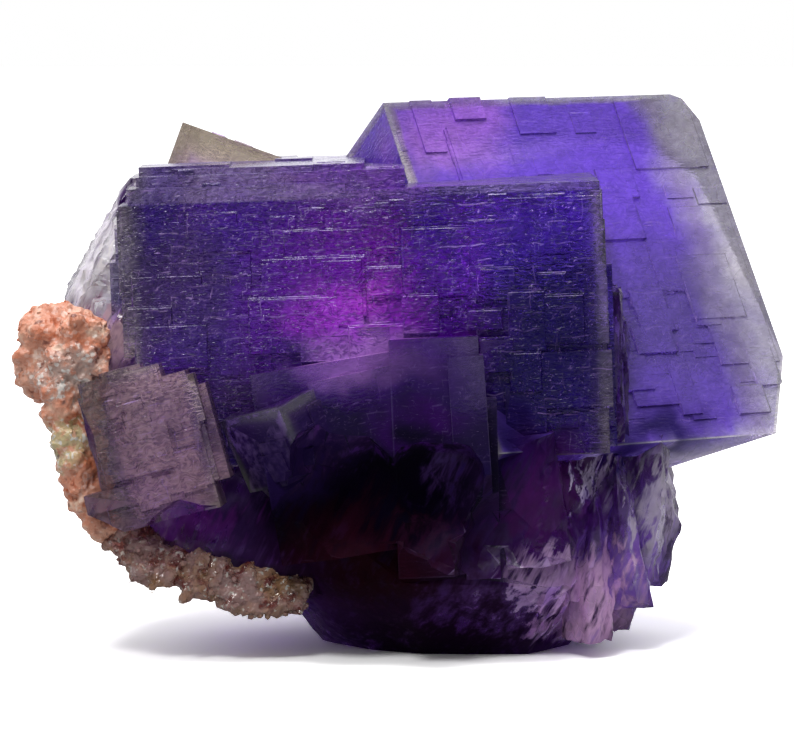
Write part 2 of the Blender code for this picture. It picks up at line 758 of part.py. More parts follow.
def build():
    """Make the three pieces."""
    for old in list(bpy.data.objects):
        bpy.data.objects.remove(old, do_unlink=True)

    purple = plain_material("fluorite_purple", (0.10, 0.02, 0.28), 0.16, 0.7, 1.434)
    orange = plain_material("iron_stain", (0.62, 0.30, 0.16), 0.7)
    glassy = plain_material("quartz_clear", (0.78, 0.72, 0.62), 0.15, 0.6, 1.544)

    parts = main_crystal() + right_crystal() + lower_crystal() + back_crystals()
    parts += front_group() + broken_base()
    fluorite = combine(parts[0], "UNION", parts[1:])
    ground = block(Matrix.Identity(4), -REACH, REACH, -REACH, REACH, -REACH, 0.0, name="ground")
    combine(fluorite, "DIFFERENCE", [ground] + fracture_scoops())
    combine(fluorite, "DIFFERENCE", crust_solids(SURFACE_GAP) + rim_solids(SURFACE_GAP))
    keep_largest(fluorite)
    finish(fluorite, "fluorite_cluster", purple)

    lumps = crust_solids(0.0)
    crust = combine(lumps[0], "UNION", lumps[1:])
    combine(crust, "DIFFERENCE", rim_solids(SURFACE_GAP))
    keep_largest(crust)
    finish(crust, "iron_stained_crust", orange)

    points = rim_solids(0.0)
    rim = combine(points[0], "UNION", points[1:])
    keep_largest(rim)
    finish(rim, "quartz_druse", glassy)


build()
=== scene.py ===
import math

import bmesh
import bpy
from mathutils import Matrix, Vector, noise


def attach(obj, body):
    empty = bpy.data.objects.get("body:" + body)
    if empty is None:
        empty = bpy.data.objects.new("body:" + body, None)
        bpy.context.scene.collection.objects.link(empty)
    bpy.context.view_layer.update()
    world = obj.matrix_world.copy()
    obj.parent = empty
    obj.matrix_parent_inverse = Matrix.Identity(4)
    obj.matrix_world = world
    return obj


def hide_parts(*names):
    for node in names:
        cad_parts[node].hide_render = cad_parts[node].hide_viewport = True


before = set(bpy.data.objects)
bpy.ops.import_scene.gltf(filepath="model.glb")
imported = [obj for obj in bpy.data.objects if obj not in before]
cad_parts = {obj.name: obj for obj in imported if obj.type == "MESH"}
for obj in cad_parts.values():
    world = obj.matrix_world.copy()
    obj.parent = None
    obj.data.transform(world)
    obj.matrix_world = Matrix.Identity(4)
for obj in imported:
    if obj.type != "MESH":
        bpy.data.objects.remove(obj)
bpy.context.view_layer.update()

MM = 0.001
TO_MM = 1000.0
SQUARE_TO_MM = 1e6

# The crystals: upper left front corner, width, depth and height in mm, yaw, pitch and roll
CRYSTALS = {
    "main": ((-16.5, -10.0, 26.9), (28.3, 19.0, 15.5), (0.0, 0.0, -2.0)),
    "right": ((-1.05, 0.0, 32.7), (21.8, 12.0, 24.3), (27.0, -34.0, -1.0)),
    "lower": ((-18.2, -12.0, 17.0), (6.0, 11.0, 9.2), (-4.0, -2.0, -15.0)),
    "pale": ((-13.4, 4.0, 31.4), (13.5, 10.5, 15.0), (-9.0, -8.0, 19.0)),
    "rear": ((4.5, 15.2, 20.5), (15.0, 12.0, 14.0), (196.0, -14.0, 7.0)),
    "cube": ((-7.0, -14.9, 15.5), (4.2, 5.6, 4.6), (41.0, -12.0, -20.0)),
    "front_left": ((-8.8, -12.3, 17.2), (9.2, 8.0, 11.4), (0.0, -3.0, -9.5)),
    "front_right": ((-0.7, -12.8, 19.3), (5.2, 8.4, 13.9), (0.0, -3.0, -2.5)),
    "front_step": ((2.7, -13.1, 18.3), (2.1, 8.8, 10.3), (0.0, -3.0, -4.0)),
    "front_side": ((3.6, -12.1, 15.8), (2.0, 9.2, 10.6), (0.0, -3.0, -1.5)),
    "front_wedge": ((-5.4, -12.9, 16.8), (5.2, 9.6, 10.2), (0.0, -3.0, -12.0)),
}

# How far in mm a crystal's own steps stand out of its plain box
STEP_REACH = {"main": 2.4}
PLAIN_REACH = 0.75

# A plate's own edges, which get the painted ledge highlight and shade: smaller than this in square metres,
# and no further in than this in mm
NARROW_FACE = 1.2e-6
EDGE_WIDTH = 0.8

# Planes on which the right crystal was split, in its own frame: a point in mm and the way it faces
CLEAVAGES = (
    (Vector((19.4, 0.0, -24.3)), Vector((0.507, 0.830, -0.233)).normalized()),
    (Vector((19.9, 0.0, 0.2)), Vector((0.42, 0.20, 0.88)).normalized()),
    (Vector((21.9, 0.0, -2.2)), Vector((0.88, 0.25, 0.40)).normalized()),
)
CLEAVED = 0.98             # how nearly a face must look the plane's way, 1 being exactly
CLEAVAGE_REACH = 0.7       # mm that it may lie beside the plane

# Broken faces: longest edge in metres, rounds of splitting, the flat cut's height, and edges that stay smooth
BROKEN_EDGE = 0.00055
SPLIT_ROUNDS = 5
CUT_HEIGHT = 0.0004
BROKEN_SMOOTH = math.radians(34)
CRYSTAL_SMOOTH = math.radians(1.5)

# Their relief in mm: shells, ripples, grain, splinters at the right and fibres at the left
SHELL_DEPTH = 0.16
RIPPLE_DEPTH = 0.035
GRAIN_DEPTH = 0.07
SPLINTER_DEPTH = 0.26
FIBRE_DEPTH = 0.22

# A face belongs to a crystal where it lies along its planes, or is one of its plates' thin edges (square mm)
LARGE_FACE = 1.2
SMALL_FACE = 0.03
SLIVER = 0.08
ALIGNED = 0.9985
HOME_REACH = 1.1           # mm from a crystal's planes within which a face can be its own
TERRACE_AWAY = 0.2         # mm that count for the terraces, which stand above their crystal's plane
TILT_COST = 60.0           # mm added to the distance for a face's tilt
MOST_TILT_COST = 0.5       # mm, the most that the tilt adds
TERRACE_LEVEL = 0.02       # mm above the large crystal's top where the terraces' colours start

# Ledges of the large face: left, right, bottom, top and height above the face
MAIN_LEDGES = (
    (8.2, 14.3, -6.9, -3.3, 0.26),
    (7.4, 12.6, -8.9, -5.6, 0.44),
    (4.9, 8.3, -8.3, -5.1, 0.20),
    (0.6, 4.7, -7.0, -4.1, 0.16),
    (0.3, 2.9, -8.4, -5.9, 0.30),
    (0.7, 4.9, -9.6, -7.0, 0.40),
    (9.6, 14.2, -4.6, -1.7, 0.12),
    (11.7, 14.1, -7.4, -3.5, 0.36),
    (14.4, 16.4, -5.7, -4.0, 0.42),
    (16.5, 20.4, -5.9, -1.8, 0.30),
    (20.4, 24.0, -4.5, -1.4, 0.18),
    (20.8, 23.0, -6.2, -4.3, 0.34),
    (22.5, 28.2, -3.6, -0.2, 0.14),
    (24.3, 26.0, -6.6, -4.7, 0.26),
    (25.9, 28.4, -9.0, -5.2, 0.20),
    (22.6, 24.7, -9.2, -5.7, 0.48),
    (24.5, 27.0, -8.8, -6.0, 0.40),
    (20.2, 22.2, -7.9, -6.7, 0.52),
    (16.4, 18.5, -8.0, -5.7, 0.46),
    (20.9, 22.8, -10.4, -8.4, 0.60),
    (22.6, 24.4, -11.6, -9.3, 0.52),
    (13.2, 16.4, -9.6, -7.4, 0.62),
)
LEDGE_GROWTH = 0.035       # how far a dressed ledge stands over its plain one
PLATE_ROOT = 0.9           # how far a plate reaches back into its crystal
RAY_START = 0.0006         # metres above a plate where the search for its crystal starts
PLATE_BACKING = 0.00045    # metres below a plate's top where its crystal must lie

# Fine growth plates: crystal, face, number, plate sides, heights above the face, seed
FINE_PLATES = (
    ("main", "front", 100, (0.6, 3.4), (0.02, 0.12), 1),
    ("main", "front", 80, (0.3, 1.3), (0.04, 0.20), 2),
    ("main", "top", 40, (0.6, 3.2), (1.0, 2.0), 3),
    ("main", "left", 26, (0.6, 3.0), (0.05, 0.35), 4),
    ("main", "right", 20, (0.6, 3.0), (0.05, 0.35), 5),
    ("main", "back", 50, (0.8, 4.0), (0.05, 0.40), 6),
    ("right", "front", 60, (0.4, 2.2), (0.015, 0.09), 7),
    ("right", "top", 26, (0.6, 3.5), (0.03, 0.25), 8),
    ("right", "left", 24, (0.6, 3.0), (0.03, 0.25), 9),
    ("right", "back", 30, (0.8, 4.0), (0.03, 0.25), 10),
    ("lower", "front", 26, (0.4, 1.8), (0.03, 0.20), 11),
    ("lower", "left", 14, (0.6, 2.4), (0.03, 0.25), 12),
    ("pale", "top", 12, (0.6, 2.6), (0.03, 0.22), 13),
    ("pale", "back", 26, (0.7, 3.5), (0.03, 0.28), 14),
    ("pale", "left", 16, (0.7, 3.0), (0.03, 0.25), 15),
    ("rear", "front", 46, (0.7, 3.5), (0.03, 0.32), 16),
    ("rear", "top", 22, (0.7, 3.0), (0.03, 0.30), 17),
    ("rear", "left", 22, (0.7, 3.0), (0.03, 0.30), 18),
    ("rear", "right", 18, (0.7, 3.0), (0.03, 0.25), 19),
    ("front_left", "front", 8, (0.5, 2.0), (0.02, 0.08), 20),
    ("front_right", "front", 6, (0.5, 1.8), (0.02, 0.08), 21),
    ("cube", "front", 5, (0.5, 1.6), (0.02, 0.08), 22),
    ("cube", "left", 5, (0.5, 1.6), (0.02, 0.08), 23),
)

# Bricks of the parquet in the fluorite's material: width and height in mm, seed
COARSE_BRICKS = (2.6, 1.25, 3.0)
FINE_BRICKS = (1.1, 0.46, 11.0)


# Colours

def tint(red, green, blue):
    """A colour given as the eye reads it, in 255ths, turned to linear light."""
    channels = []
    for value in (red, green, blue):
        share = value / 255
        channels.append(share / 12.92 if share <= 0.04045 else ((share + 0.055) / 1.055) ** 2.4)
    return (*channels, 1.0)


# For each crystal: core, band and rim colour, the rim's margins at the low and the high sides, its ripple
ZONES = {
    "main": (
        tint(40, 2, 126), tint(56, 32, 108), tint(138, 130, 138),
        (1.5, 0.1, 0.1), (1.0, 1.2, 0.9), 1.0,
    ),
    "terrace": (
        tint(122, 102, 172), tint(136, 124, 164), tint(160, 152, 170),
        (1.5, 0.1, 0.1), (1.0, 1.2, 0.9), 0.9,
    ),
    "right": (
        tint(122, 80, 228), tint(190, 176, 206), tint(250, 250, 250),
        (0.6, 0.1, 0.1), (4.2, 3.0, 0.5), 0.42,
    ),
    "lower": (
        tint(176, 140, 152), tint(182, 150, 160), tint(196, 174, 170),
        (0.7, 0.6, 0.6), (0.8, 0.6, 0.8), 0.8,
    ),
    "pale": (
        tint(226, 184, 244), tint(226, 208, 192), tint(222, 208, 180),
        (1.2, 1.2, 1.2), (1.6, 1.6, 1.8), 0.4,
    ),
    "rear": (
        tint(92, 48, 184), tint(130, 100, 184), tint(200, 196, 204),
        (1.4, 1.2, 1.4), (1.4, 1.2, 1.4), 0.8,
    ),
    "cube": (
        tint(38, 16, 76), tint(70, 54, 90), tint(120, 122, 114),
        (0.8, 0.6, 0.3), (0.5, 0.6, 0.9), 0.4,
    ),
    "front_left": (
        tint(26, 8, 66), tint(52, 34, 88), tint(80, 66, 110),
        (0.1, 0.1, 0.1), (0.05, 0.4, 1.6), 0.4,
    ),
    "front_right": (
        tint(24, 8, 62), tint(56, 40, 92), tint(84, 70, 114),
        (0.1, 0.1, 0.1), (0.05, 0.4, 2.2), 0.4,
    ),
    "front_step": (
        tint(34, 14, 76), tint(60, 44, 96), tint(82, 68, 114),
        (0.05, 0.1, 0.1), (0.05, 0.4, 2.6), 0.4,
    ),
    "front_side": (
        tint(20, 5, 52), tint(34, 16, 66), tint(40, 24, 72),
        (0.1, 0.1, 0.1), (0.05, 0.4, 0.6), 0.4,
    ),
    "front_wedge": (
        tint(26, 8, 62), tint(52, 34, 88), tint(80, 66, 110),
        (0.1, 0.1, 0.1), (0.05, 0.4, 1.2), 0.4,
    ),
    "broken": (
        tint(58, 18, 92), tint(58, 18, 92), tint(58, 18, 92),
        (0.1, 0.1, 0.1), (0.1, 0.1, 0.1), 0.0,
    ),
}

# Soft clouds of colour inside the group: centre and radii in mm, colour, strength, how much they stop light
CLOUDS = (
    ((-12.6, -10.0, 22.0), (4.2, 4.0, 5.0), tint(44, 24, 86), 0.8, 0.2),
    ((8.2, -10.0, 19.0), (6.5, 4.0, 7.5), tint(16, 5, 76), 0.9, 0.4),
    ((-9.0, -10.0, 15.2), (6.0, 4.0, 3.6), tint(34, 10, 62), 0.85, 0.4),
    # Painted glow: these three paint the light that shines through the middle of the large face as bright
    # purple over its own colour
    ((-1.8, -10.2, 20.8), (7.6, 4.0, 6.8), tint(98, 0, 168), 0.90, 0.0),
    ((-2.2, -10.2, 20.2), (4.4, 3.0, 3.0), tint(196, 40, 250), 0.92, 0.0),
    ((-1.6, -10.4, 17.9), (5.0, 3.0, 1.9), tint(232, 168, 255), 0.85, 0.0),
    ((-1.5, -8.0, 28.6), (6.5, 6.0, 1.6), tint(144, 72, 216), 0.85, 0.0),
    ((2.6, 3.0, 30.6), (4.6, 7.0, 3.8), tint(200, 126, 255), 0.9, 0.0),
    ((16.0, 2.0, 18.0), (7.5, 12.0, 8.0), tint(86, 70, 140), 0.8, 0.0),
    ((18.8, 8.0, 30.4), (3.0, 20.0, 5.0), tint(232, 228, 234), 0.82, 0.0),
    ((21.4, 9.0, 24.4), (3.0, 20.0, 6.0), tint(232, 228, 232), 0.84, 0.0),
    ((23.6, 10.0, 17.4), (3.0, 20.0, 6.4), tint(214, 210, 216), 0.82, 0.0),
    # Partly the right crystal's pale rim, partly painted light that lifts its shaded underside to white
    ((19.4, -1.0, 11.2), (6.5, 9.0, 2.2), tint(255, 250, 255), 0.98, 0.0),
    ((0.0, -11.0, 10.4), (10.0, 11.0, 6.2), tint(2, 0, 10), 0.99, 1.0),
    ((-6.2, -12.0, 8.4), (7.0, 5.5, 4.6), tint(3, 0, 9), 0.98, 1.0),
    ((1.2, -12.6, 14.6), (2.8, 2.4, 1.6), tint(58, 0, 100), 0.6, 0.6),
    ((7.0, -10.8, 13.2), (2.6, 4.0, 2.8), tint(20, 6, 60), 0.98, 0.9),
    ((-7.0, -14.0, 12.2), (4.2, 4.0, 3.4), tint(30, 14, 62), 0.85, 0.9),
    ((1.4, -12.0, 17.4), (4.6, 2.6, 2.4), tint(38, 16, 76), 0.75, 0.7),
    ((-2.0, -12.0, 4.6), (8.6, 10.0, 5.0), tint(28, 2, 8), 0.98, 1.0),
    ((2.0, -9.0, 0.6), (11.0, 12.0, 3.6), tint(28, 5, 32), 0.97, 0.95),
    ((8.0, -11.0, 5.0), (2.4, 5.0, 1.5), tint(206, 170, 214), 0.85, 0.0),
    ((-17.6, -10.0, 8.6), (4.6, 6.0, 6.4), tint(158, 124, 140), 0.9, 0.0),
    ((8.6, -9.0, 10.0), (3.0, 4.0, 4.4), tint(58, 6, 70), 0.85, 0.5),
    ((11.4, -8.0, 3.4), (3.0, 5.0, 3.4), tint(255, 204, 255), 0.95, 0.0),
    ((14.2, -6.0, 5.5), (2.4, 5.0, 4.4), tint(162, 118, 232), 0.8, 0.0),
    ((15.6, -6.0, 8.6), (1.4, 5.0, 3.4), tint(244, 232, 255), 0.85, 0.0),
    ((11.6, -7.5, 11.6), (1.1, 3.0, 1.6), tint(226, 214, 236), 0.8, 0.0),
    # Painted shade: the dark navy under the right crystal where it meets the large one
    ((15.4, -5.0, 13.1), (4.6, 7.0, 1.9), tint(22, 3, 78), 0.96, 0.7),
    ((-18.6, -4.0, 24.0), (3.6, 8.0, 5.2), tint(255, 252, 254), 0.96, 0.0),
    ((-18.0, -7.0, 18.6), (2.6, 6.0, 2.4), tint(228, 184, 190), 0.9, 0.0),
    ((-13.2, -11.0, 7.9), (4.4, 3.5, 2.0), tint(88, 18, 108), 0.85, 0.3),
)


# Places and turns

def turned(turn):
    """The rotation for a yaw, a pitch and a roll in degrees."""
    yaw, pitch, roll = (math.radians(angle) for angle in turn)
    return (
        Matrix.Rotation(yaw, 4, "Z")
        @ Matrix.Rotation(pitch, 4, "X")
        @ Matrix.Rotation(roll, 4, "Y")
    )


def seat(name):
    """The frame of a crystal in mm: origin in its upper left front corner."""
    corner, _, turn = CRYSTALS[name]
    return Matrix.Translation(Vector(corner)) @ turned(turn)


FRAMES = {name: seat(name).inverted() for name in CRYSTALS}
CRYSTAL_NAMES = list(CRYSTALS) + ["broken"]
BROKEN = CRYSTAL_NAMES.index("broken")


def face_frame(name, face):
    """A frame on one face, z outwards, and the face's width and height in mm."""
    width, depth, height = CRYSTALS[name][1]
    spots = {
        "front": ((0, 0, -height), (1, 0, 0), (0, 0, 1), width, height),
        "back": ((width, depth, -height), (-1, 0, 0), (0, 0, 1), width, height),
        "left": ((0, depth, -height), (0, -1, 0), (0, 0, 1), depth, height),
        "right": ((width, 0, -height), (0, 1, 0), (0, 0, 1), depth, height),
        "top": ((0, 0, 0), (1, 0, 0), (0, 1, 0), width, depth),
    }
    corner, across, upward, wide, high = spots[face]
    across = Vector(across)
    upward = Vector(upward)
    basis = Matrix((across, upward, across.cross(upward))).transposed().to_4x4()
    return seat(name) @ Matrix.Translation(Vector(corner)) @ basis, wide, high


# Mesh helpers

def link(name, mesh):
    """A new object in the scene for a mesh."""
    body = bpy.data.objects.new(name, mesh)
    bpy.context.scene.collection.objects.link(body)
    return body


def merged_copy(node, name):
    """A welded copy of a node's mesh."""
    bm = bmesh.new()
    bm.from_mesh(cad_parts[node].data)
    bmesh.ops.remove_doubles(bm, verts=bm.verts, dist=1e-7)
    mesh = bpy.data.meshes.new(name)
    bm.to_mesh(mesh)
    bm.free()
    return link(name, mesh)


def settled(body, name):
    """The plain mesh of an object with all its modifiers, on a fresh object."""
    bpy.context.view_layer.update()
    evaluated = body.evaluated_get(bpy.context.evaluated_depsgraph_get())
    mesh = bpy.data.meshes.new_from_object(evaluated)
    mesh.name = name
    bpy.data.objects.remove(body, do_unlink=True)
    return link(name, mesh)


def plate_mesh(name, left, right, bottom, top, root, height, slopes):
    """A growth plate with sloping shoulders; slopes are those of the left, right, bottom and top edges."""
    slope_left, slope_right, slope_bottom, slope_top = slopes
    shoulder = height - min(max(slopes), (height + root) * 0.6)
    levels = (
        (left, right, bottom, top, -root),
        (left, right, bottom, top, shoulder),
        (left + slope_left, right - slope_right, bottom + slope_bottom, top - slope_top, height),
    )
    bm = bmesh.new()
    rings = [
        [bm.verts.new(spot) for spot in ((a, c, z), (b, c, z), (b, d, z), (a, d, z))]
        for a, b, c, d, z in levels
    ]
    bm.faces.new(list(reversed(rings[0])))
    bm.faces.new(rings[-1])
    for lower, upper in zip(rings, rings[1:]):
        for side in range(4):
            after = (side + 1) % 4
            bm.faces.new((lower[side], lower[after], upper[after], upper[side]))
    mesh = bpy.data.meshes.new(name)
    bm.to_mesh(mesh)
    bm.free()
    return mesh


# Geometry Nodes

def add(tree, kind, inputs=None, **settings):
    """A node with its settings, its values and its links."""
    made = tree.nodes.new(kind)
    for key, value in settings.items():
        setattr(made, key, value)
    for key, value in (inputs or {}).items():
        socket = made.inputs[key]
        if isinstance(value, bpy.types.NodeSocket):
            tree.links.new(value, socket)
        else:
            socket.default_value = value
    return made


def vectors(tree, operation, first, second):
    """A sum on vectors."""
    return add(tree, "ShaderNodeVectorMath", {0: first, 1: second}, operation=operation).outputs[0]


def new_tree(name, sockets):
    """A geometry tree with named inputs: name, socket type and starting value."""
    tree = bpy.data.node_groups.new(name, "GeometryNodeTree")
    tree.interface.new_socket("Geometry", in_out="INPUT", socket_type="NodeSocketGeometry")
    tree.interface.new_socket("Geometry", in_out="OUTPUT", socket_type="NodeSocketGeometry")
    for label, kind, value in sockets:
        socket = tree.interface.new_socket(label, in_out="INPUT", socket_type=kind)
        if value is not None:
            socket.default_value = value
    return tree, tree.nodes.new("NodeGroupInput"), tree.nodes.new("NodeGroupOutput")


def use_tree(body, tree, values):
    """Put a tree on an object, with its inputs set by their identifiers."""
    modifier = body.modifiers.new(tree.name, "NODES")
    modifier.node_group = tree
    for item in tree.interface.items_tree:
        if item.item_type == "SOCKET" and item.in_out == "INPUT" and item.name in values:
            modifier[item.identifier] = values[item.name]
    return modifier


def growth_tree():
    """Thin plates grown at random over one face and fused with the crystal."""
    tree, inlet, outlet = new_tree("growth plates", (
        ("Plate", "NodeSocketObject", None),
        ("Face Place", "NodeSocketVector", None),
        ("Face Turn", "NodeSocketVector", None),
        ("Count", "NodeSocketInt", 10),
        ("Low Corner", "NodeSocketVector", None),
        ("High Corner", "NodeSocketVector", None),
        ("Smallest", "NodeSocketVector", None),
        ("Largest", "NodeSocketVector", None),
        ("Seed", "NodeSocketInt", 0),
        ("Material", "NodeSocketMaterial", None),
    ))
    places = add(tree, "FunctionNodeRandomValue", {
        "Min": inlet.outputs["Low Corner"],
        "Max": inlet.outputs["High Corner"],
        "Seed": inlet.outputs["Seed"],
    }, data_type="FLOAT_VECTOR")
    scales = add(tree, "FunctionNodeRandomValue", {
        "Min": inlet.outputs["Smallest"],
        "Max": inlet.outputs["Largest"],
        "Seed": inlet.outputs["Seed"],
    }, data_type="FLOAT_VECTOR")
    points = add(tree, "GeometryNodePoints", {
        "Count": inlet.outputs["Count"],
        "Position": places.outputs[0],
    })
    plate = add(tree, "GeometryNodeObjectInfo", {"Object": inlet.outputs["Plate"]})
    where = add(tree, "GeometryNodeInputPosition").outputs[0]
    backed = None
    for across, upward in ((0.0, 0.0), (-0.5, -0.5), (0.5, -0.5), (-0.5, 0.5), (0.5, 0.5)):
        corner = vectors(tree, "MULTIPLY", scales.outputs[0], (across * MM, upward * MM, 0.0))
        above = vectors(tree, "ADD", where, corner)
        above = vectors(tree, "ADD", above, (0.0, 0.0, RAY_START))
        turned_spot = add(tree, "ShaderNodeVectorRotate", {
            "Vector": above, "Rotation": inlet.outputs["Face Turn"],
        }, rotation_type="EULER_XYZ").outputs[0]
        start = vectors(tree, "ADD", turned_spot, inlet.outputs["Face Place"])
        down = add(tree, "ShaderNodeVectorRotate", {
            "Vector": (0.0, 0.0, -1.0), "Rotation": inlet.outputs["Face Turn"],
        }, rotation_type="EULER_XYZ").outputs[0]
        hit = add(tree, "GeometryNodeRaycast", {
            "Target Geometry": inlet.outputs["Geometry"],
            "Source Position": start,
            "Ray Direction": down,
            "Ray Length": RAY_START + PLATE_BACKING,
        }).outputs["Is Hit"]
        if backed is None:
            backed = hit
        else:
            backed = add(tree, "FunctionNodeBooleanMath", {0: backed, 1: hit}, operation="AND").outputs[0]
    grown = add(tree, "GeometryNodeInstanceOnPoints", {
        "Points": points.outputs[0],
        "Selection": backed,
        "Instance": plate.outputs["Geometry"],
        "Scale": scales.outputs[0],
    })
    seated = add(tree, "GeometryNodeTransform", {
        "Geometry": grown.outputs[0],
        "Translation": inlet.outputs["Face Place"],
        "Rotation": inlet.outputs["Face Turn"],
    })
    fused = add(tree, "GeometryNodeMeshBoolean", operation="UNION", solver="MANIFOLD")
    tree.links.new(inlet.outputs["Geometry"], fused.inputs["Mesh 2"])
    tree.links.new(seated.outputs[0], fused.inputs["Mesh 2"])
    plain = add(tree, "GeometryNodeRealizeInstances", {"Geometry": fused.outputs[0]})
    finish = add(tree, "GeometryNodeSetMaterial", {
        "Geometry": plain.outputs[0],
        "Material": inlet.outputs["Material"],
    })
    tree.links.new(finish.outputs[0], outlet.inputs[0])
    return tree


def grow_plates(body, tree, plate, material):
    """Cover the crystals' faces with the fine plates."""
    for name, face, count, sides, heights, seed in FINE_PLATES:
        place, wide, high = face_frame(name, face)
        low, top = heights
        use_tree(body, tree, {
            "Plate": plate,
            "Face Place": place.translation * MM,
            "Face Turn": Vector(place.to_euler("XYZ")),
            "Count": count,
            "Low Corner": Vector((0.3, 0.3, low)) * MM,
            "High Corner": Vector((wide - 0.3, high - 0.3, top)) * MM,
            "Smallest": Vector((sides[0], sides[0], 1.0)),
            "Largest": Vector((sides[1], sides[1] * 0.75, 1.0)),
            "Seed": seed,
            "Material": material,
        })


# The fluorite

def placed_ledges():
    """The ledges of the large face, each with a sloping upper edge that takes the light."""
    place, _, high = face_frame("main", "front")
    ledges = []
    for left, right, bottom, top, proud in MAIN_LEDGES:
        grow = LEDGE_GROWTH
        mesh = plate_mesh(
            "ledge", left - grow, right + grow, high + bottom - grow, high + top + 0.3 * grow,
            PLATE_ROOT, proud + grow, (0.09, 0.07, 0.05, 0.14),
        )
        mesh.transform(place)
        mesh.transform(Matrix.Scale(MM, 4))
        ledges.append(link("ledge", mesh))
    return ledges


def fuse(body, others):
    """Join solids to a body."""
    group = bpy.data.collections.new("ledges")
    for other in others:
        group.objects.link(other)
    modifier = body.modifiers.new("fuse", "BOOLEAN")
    modifier.operation = "UNION"
    modifier.solver = "MANIFOLD"
    modifier.operand_type = "COLLECTION"
    modifier.collection = group
    body = settled(body, body.name)
    for other in others:
        bpy.data.objects.remove(other, do_unlink=True)
    bpy.data.collections.remove(group)
    return body


def home_crystal(centre, normal, area, longest):
    """The crystal that a face belongs to, or broken."""
    spot = FRAMES["right"] @ centre
    way = FRAMES["right"].to_3x3() @ normal
    for point, facing in CLEAVAGES:
        if way.dot(facing) > CLEAVED and abs((spot - point).dot(facing)) < CLEAVAGE_REACH:
            return "right"
    best = "broken"
    nearest = HOME_REACH
    sliver = area < SMALL_FACE or area < SLIVER * longest * longest
    for name, (_, size, _) in CRYSTALS.items():
        spot = FRAMES[name] @ centre
        way = FRAMES[name].to_3x3() @ normal
        axis = max(range(3), key=lambda k: abs(way[k]))
        facing = abs(way[axis])
        if facing < ALIGNED and (not sliver or area > LARGE_FACE):
            continue
        low = (0.0, 0.0, -size[2])
        high = (size[0], size[1], 0.0)
        top = (size[0] + PLAIN_REACH, size[1] + PLAIN_REACH, STEP_REACH.get(name, PLAIN_REACH))
        if any(not low[k] - PLAIN_REACH <= spot[k] <= top[k] for k in range(3)):
            continue
        away = abs(spot[axis] - (high[axis] if way[axis] > 0.0 else low[axis]))
        if area < LARGE_FACE:
            away = min(min(abs(spot[k] - low[k]), abs(spot[k] - high[k])) for k in range(3))
        if name == "main" and spot.z > 0.0:
            away = TERRACE_AWAY
        score = away + min(MOST_TILT_COST, (1.0 - facing) * TILT_COST)
        if score < nearest:
            nearest = score
            best = name
    return best


def mark_homes(bm):
    """Write on each face the number of its crystal."""
    layer = bm.faces.layers.int.new("home")
    for face in bm.faces:
        centre = face.calc_center_median() * TO_MM
        longest = max(edge.calc_length() for edge in face.edges) * TO_MM
        home = home_crystal(centre, face.normal, face.calc_area() * SQUARE_TO_MM, longest)
        face[layer] = CRYSTAL_NAMES.index(home)
    return layer


def refine_broken(bm, layer, longest):
    """Split the long edges of the broken faces."""
    for _ in range(SPLIT_ROUNDS):
        edges = [
            edge for edge in bm.edges
            if edge.calc_length() > longest and any(face[layer] == BROKEN for face in edge.link_faces)
        ]
        if not edges:
            break
        bmesh.ops.subdivide_edges(bm, edges=edges, cuts=1)
        bmesh.ops.triangulate(bm, faces=[face for face in bm.faces if len(face.verts) > 3])


def roughen_broken(bm, layer):
    """Give the broken faces their shells, ripples and splinters."""
    moves = {}
    for vert in bm.verts:
        if any(face[layer] != BROKEN for face in vert.link_faces):
            continue
        if vert.co.z < CUT_HEIGHT:
            continue
        spot = vert.co * TO_MM
        shell = noise.noise(spot * 0.45 + Vector((3.0, 7.0, 1.0)))
        ripple = math.sin(spot.z * 2.6 + spot.x * 1.1 + 5.0 * shell)
        grain = noise.noise(spot * 1.9)
        amount = SHELL_DEPTH * shell + RIPPLE_DEPTH * ripple + GRAIN_DEPTH * grain
        if spot.x > 8.0 and spot.y < 0.0:
            splinter = noise.noise(Vector((spot.x * 2.4, spot.y * 2.4, spot.z * 0.30)))
            amount += SPLINTER_DEPTH * splinter
        if spot.x < -15.0 and spot.z > 16.0:
            fibre = noise.noise(Vector((spot.x * 2.6 + spot.z * 1.2, spot.y * 2.2, spot.z * 0.5)))
            amount += FIBRE_DEPTH * fibre
        moves[vert] = vert.normal * (amount * MM)
    for vert, move in moves.items():
        vert.co += move


def set_creases(bm, layer):
    """Keep every crystal face flat and its edges sharp, and let broken faces run smoothly."""
    for face in bm.faces:
        face.smooth = True
    for edge in bm.edges:
        if len(edge.link_faces) != 2:
            continue
        both_broken = all(face[layer] == BROKEN for face in edge.link_faces)
        limit = BROKEN_SMOOTH if both_broken else CRYSTAL_SMOOTH
        edge.smooth = edge.calc_face_angle(0.0) < limit


def painted_ledge_light(name, polygon):
    """Painted ledge light: one for a painted highlight on a ledge's upper edge, minus one for painted shade
    on its underside, less on its sides with the left lighter and the right darker, nothing elsewhere.
    """
    if name == "broken":
        return 0.0
    width, depth, height = CRYSTALS[name][1]
    facing = (FRAMES[name].to_3x3() @ polygon.normal).z
    spot = FRAMES[name] @ (polygon.center * TO_MM)
    level = spot.z
    inside = min(spot.x, width - spot.x, spot.y, depth - spot.y)
    if facing > 0.5:
        return 1.0 if inside < EDGE_WIDTH and polygon.area < NARROW_FACE else 0.0
    if facing < -0.5 and level > 0.3 - height:
        return -1.0
    across = (FRAMES[name].to_3x3() @ polygon.normal).x
    if 0.5 < abs(across) and polygon.area < NARROW_FACE:
        return -0.3 if across > 0.0 else 0.8
    return 0.0


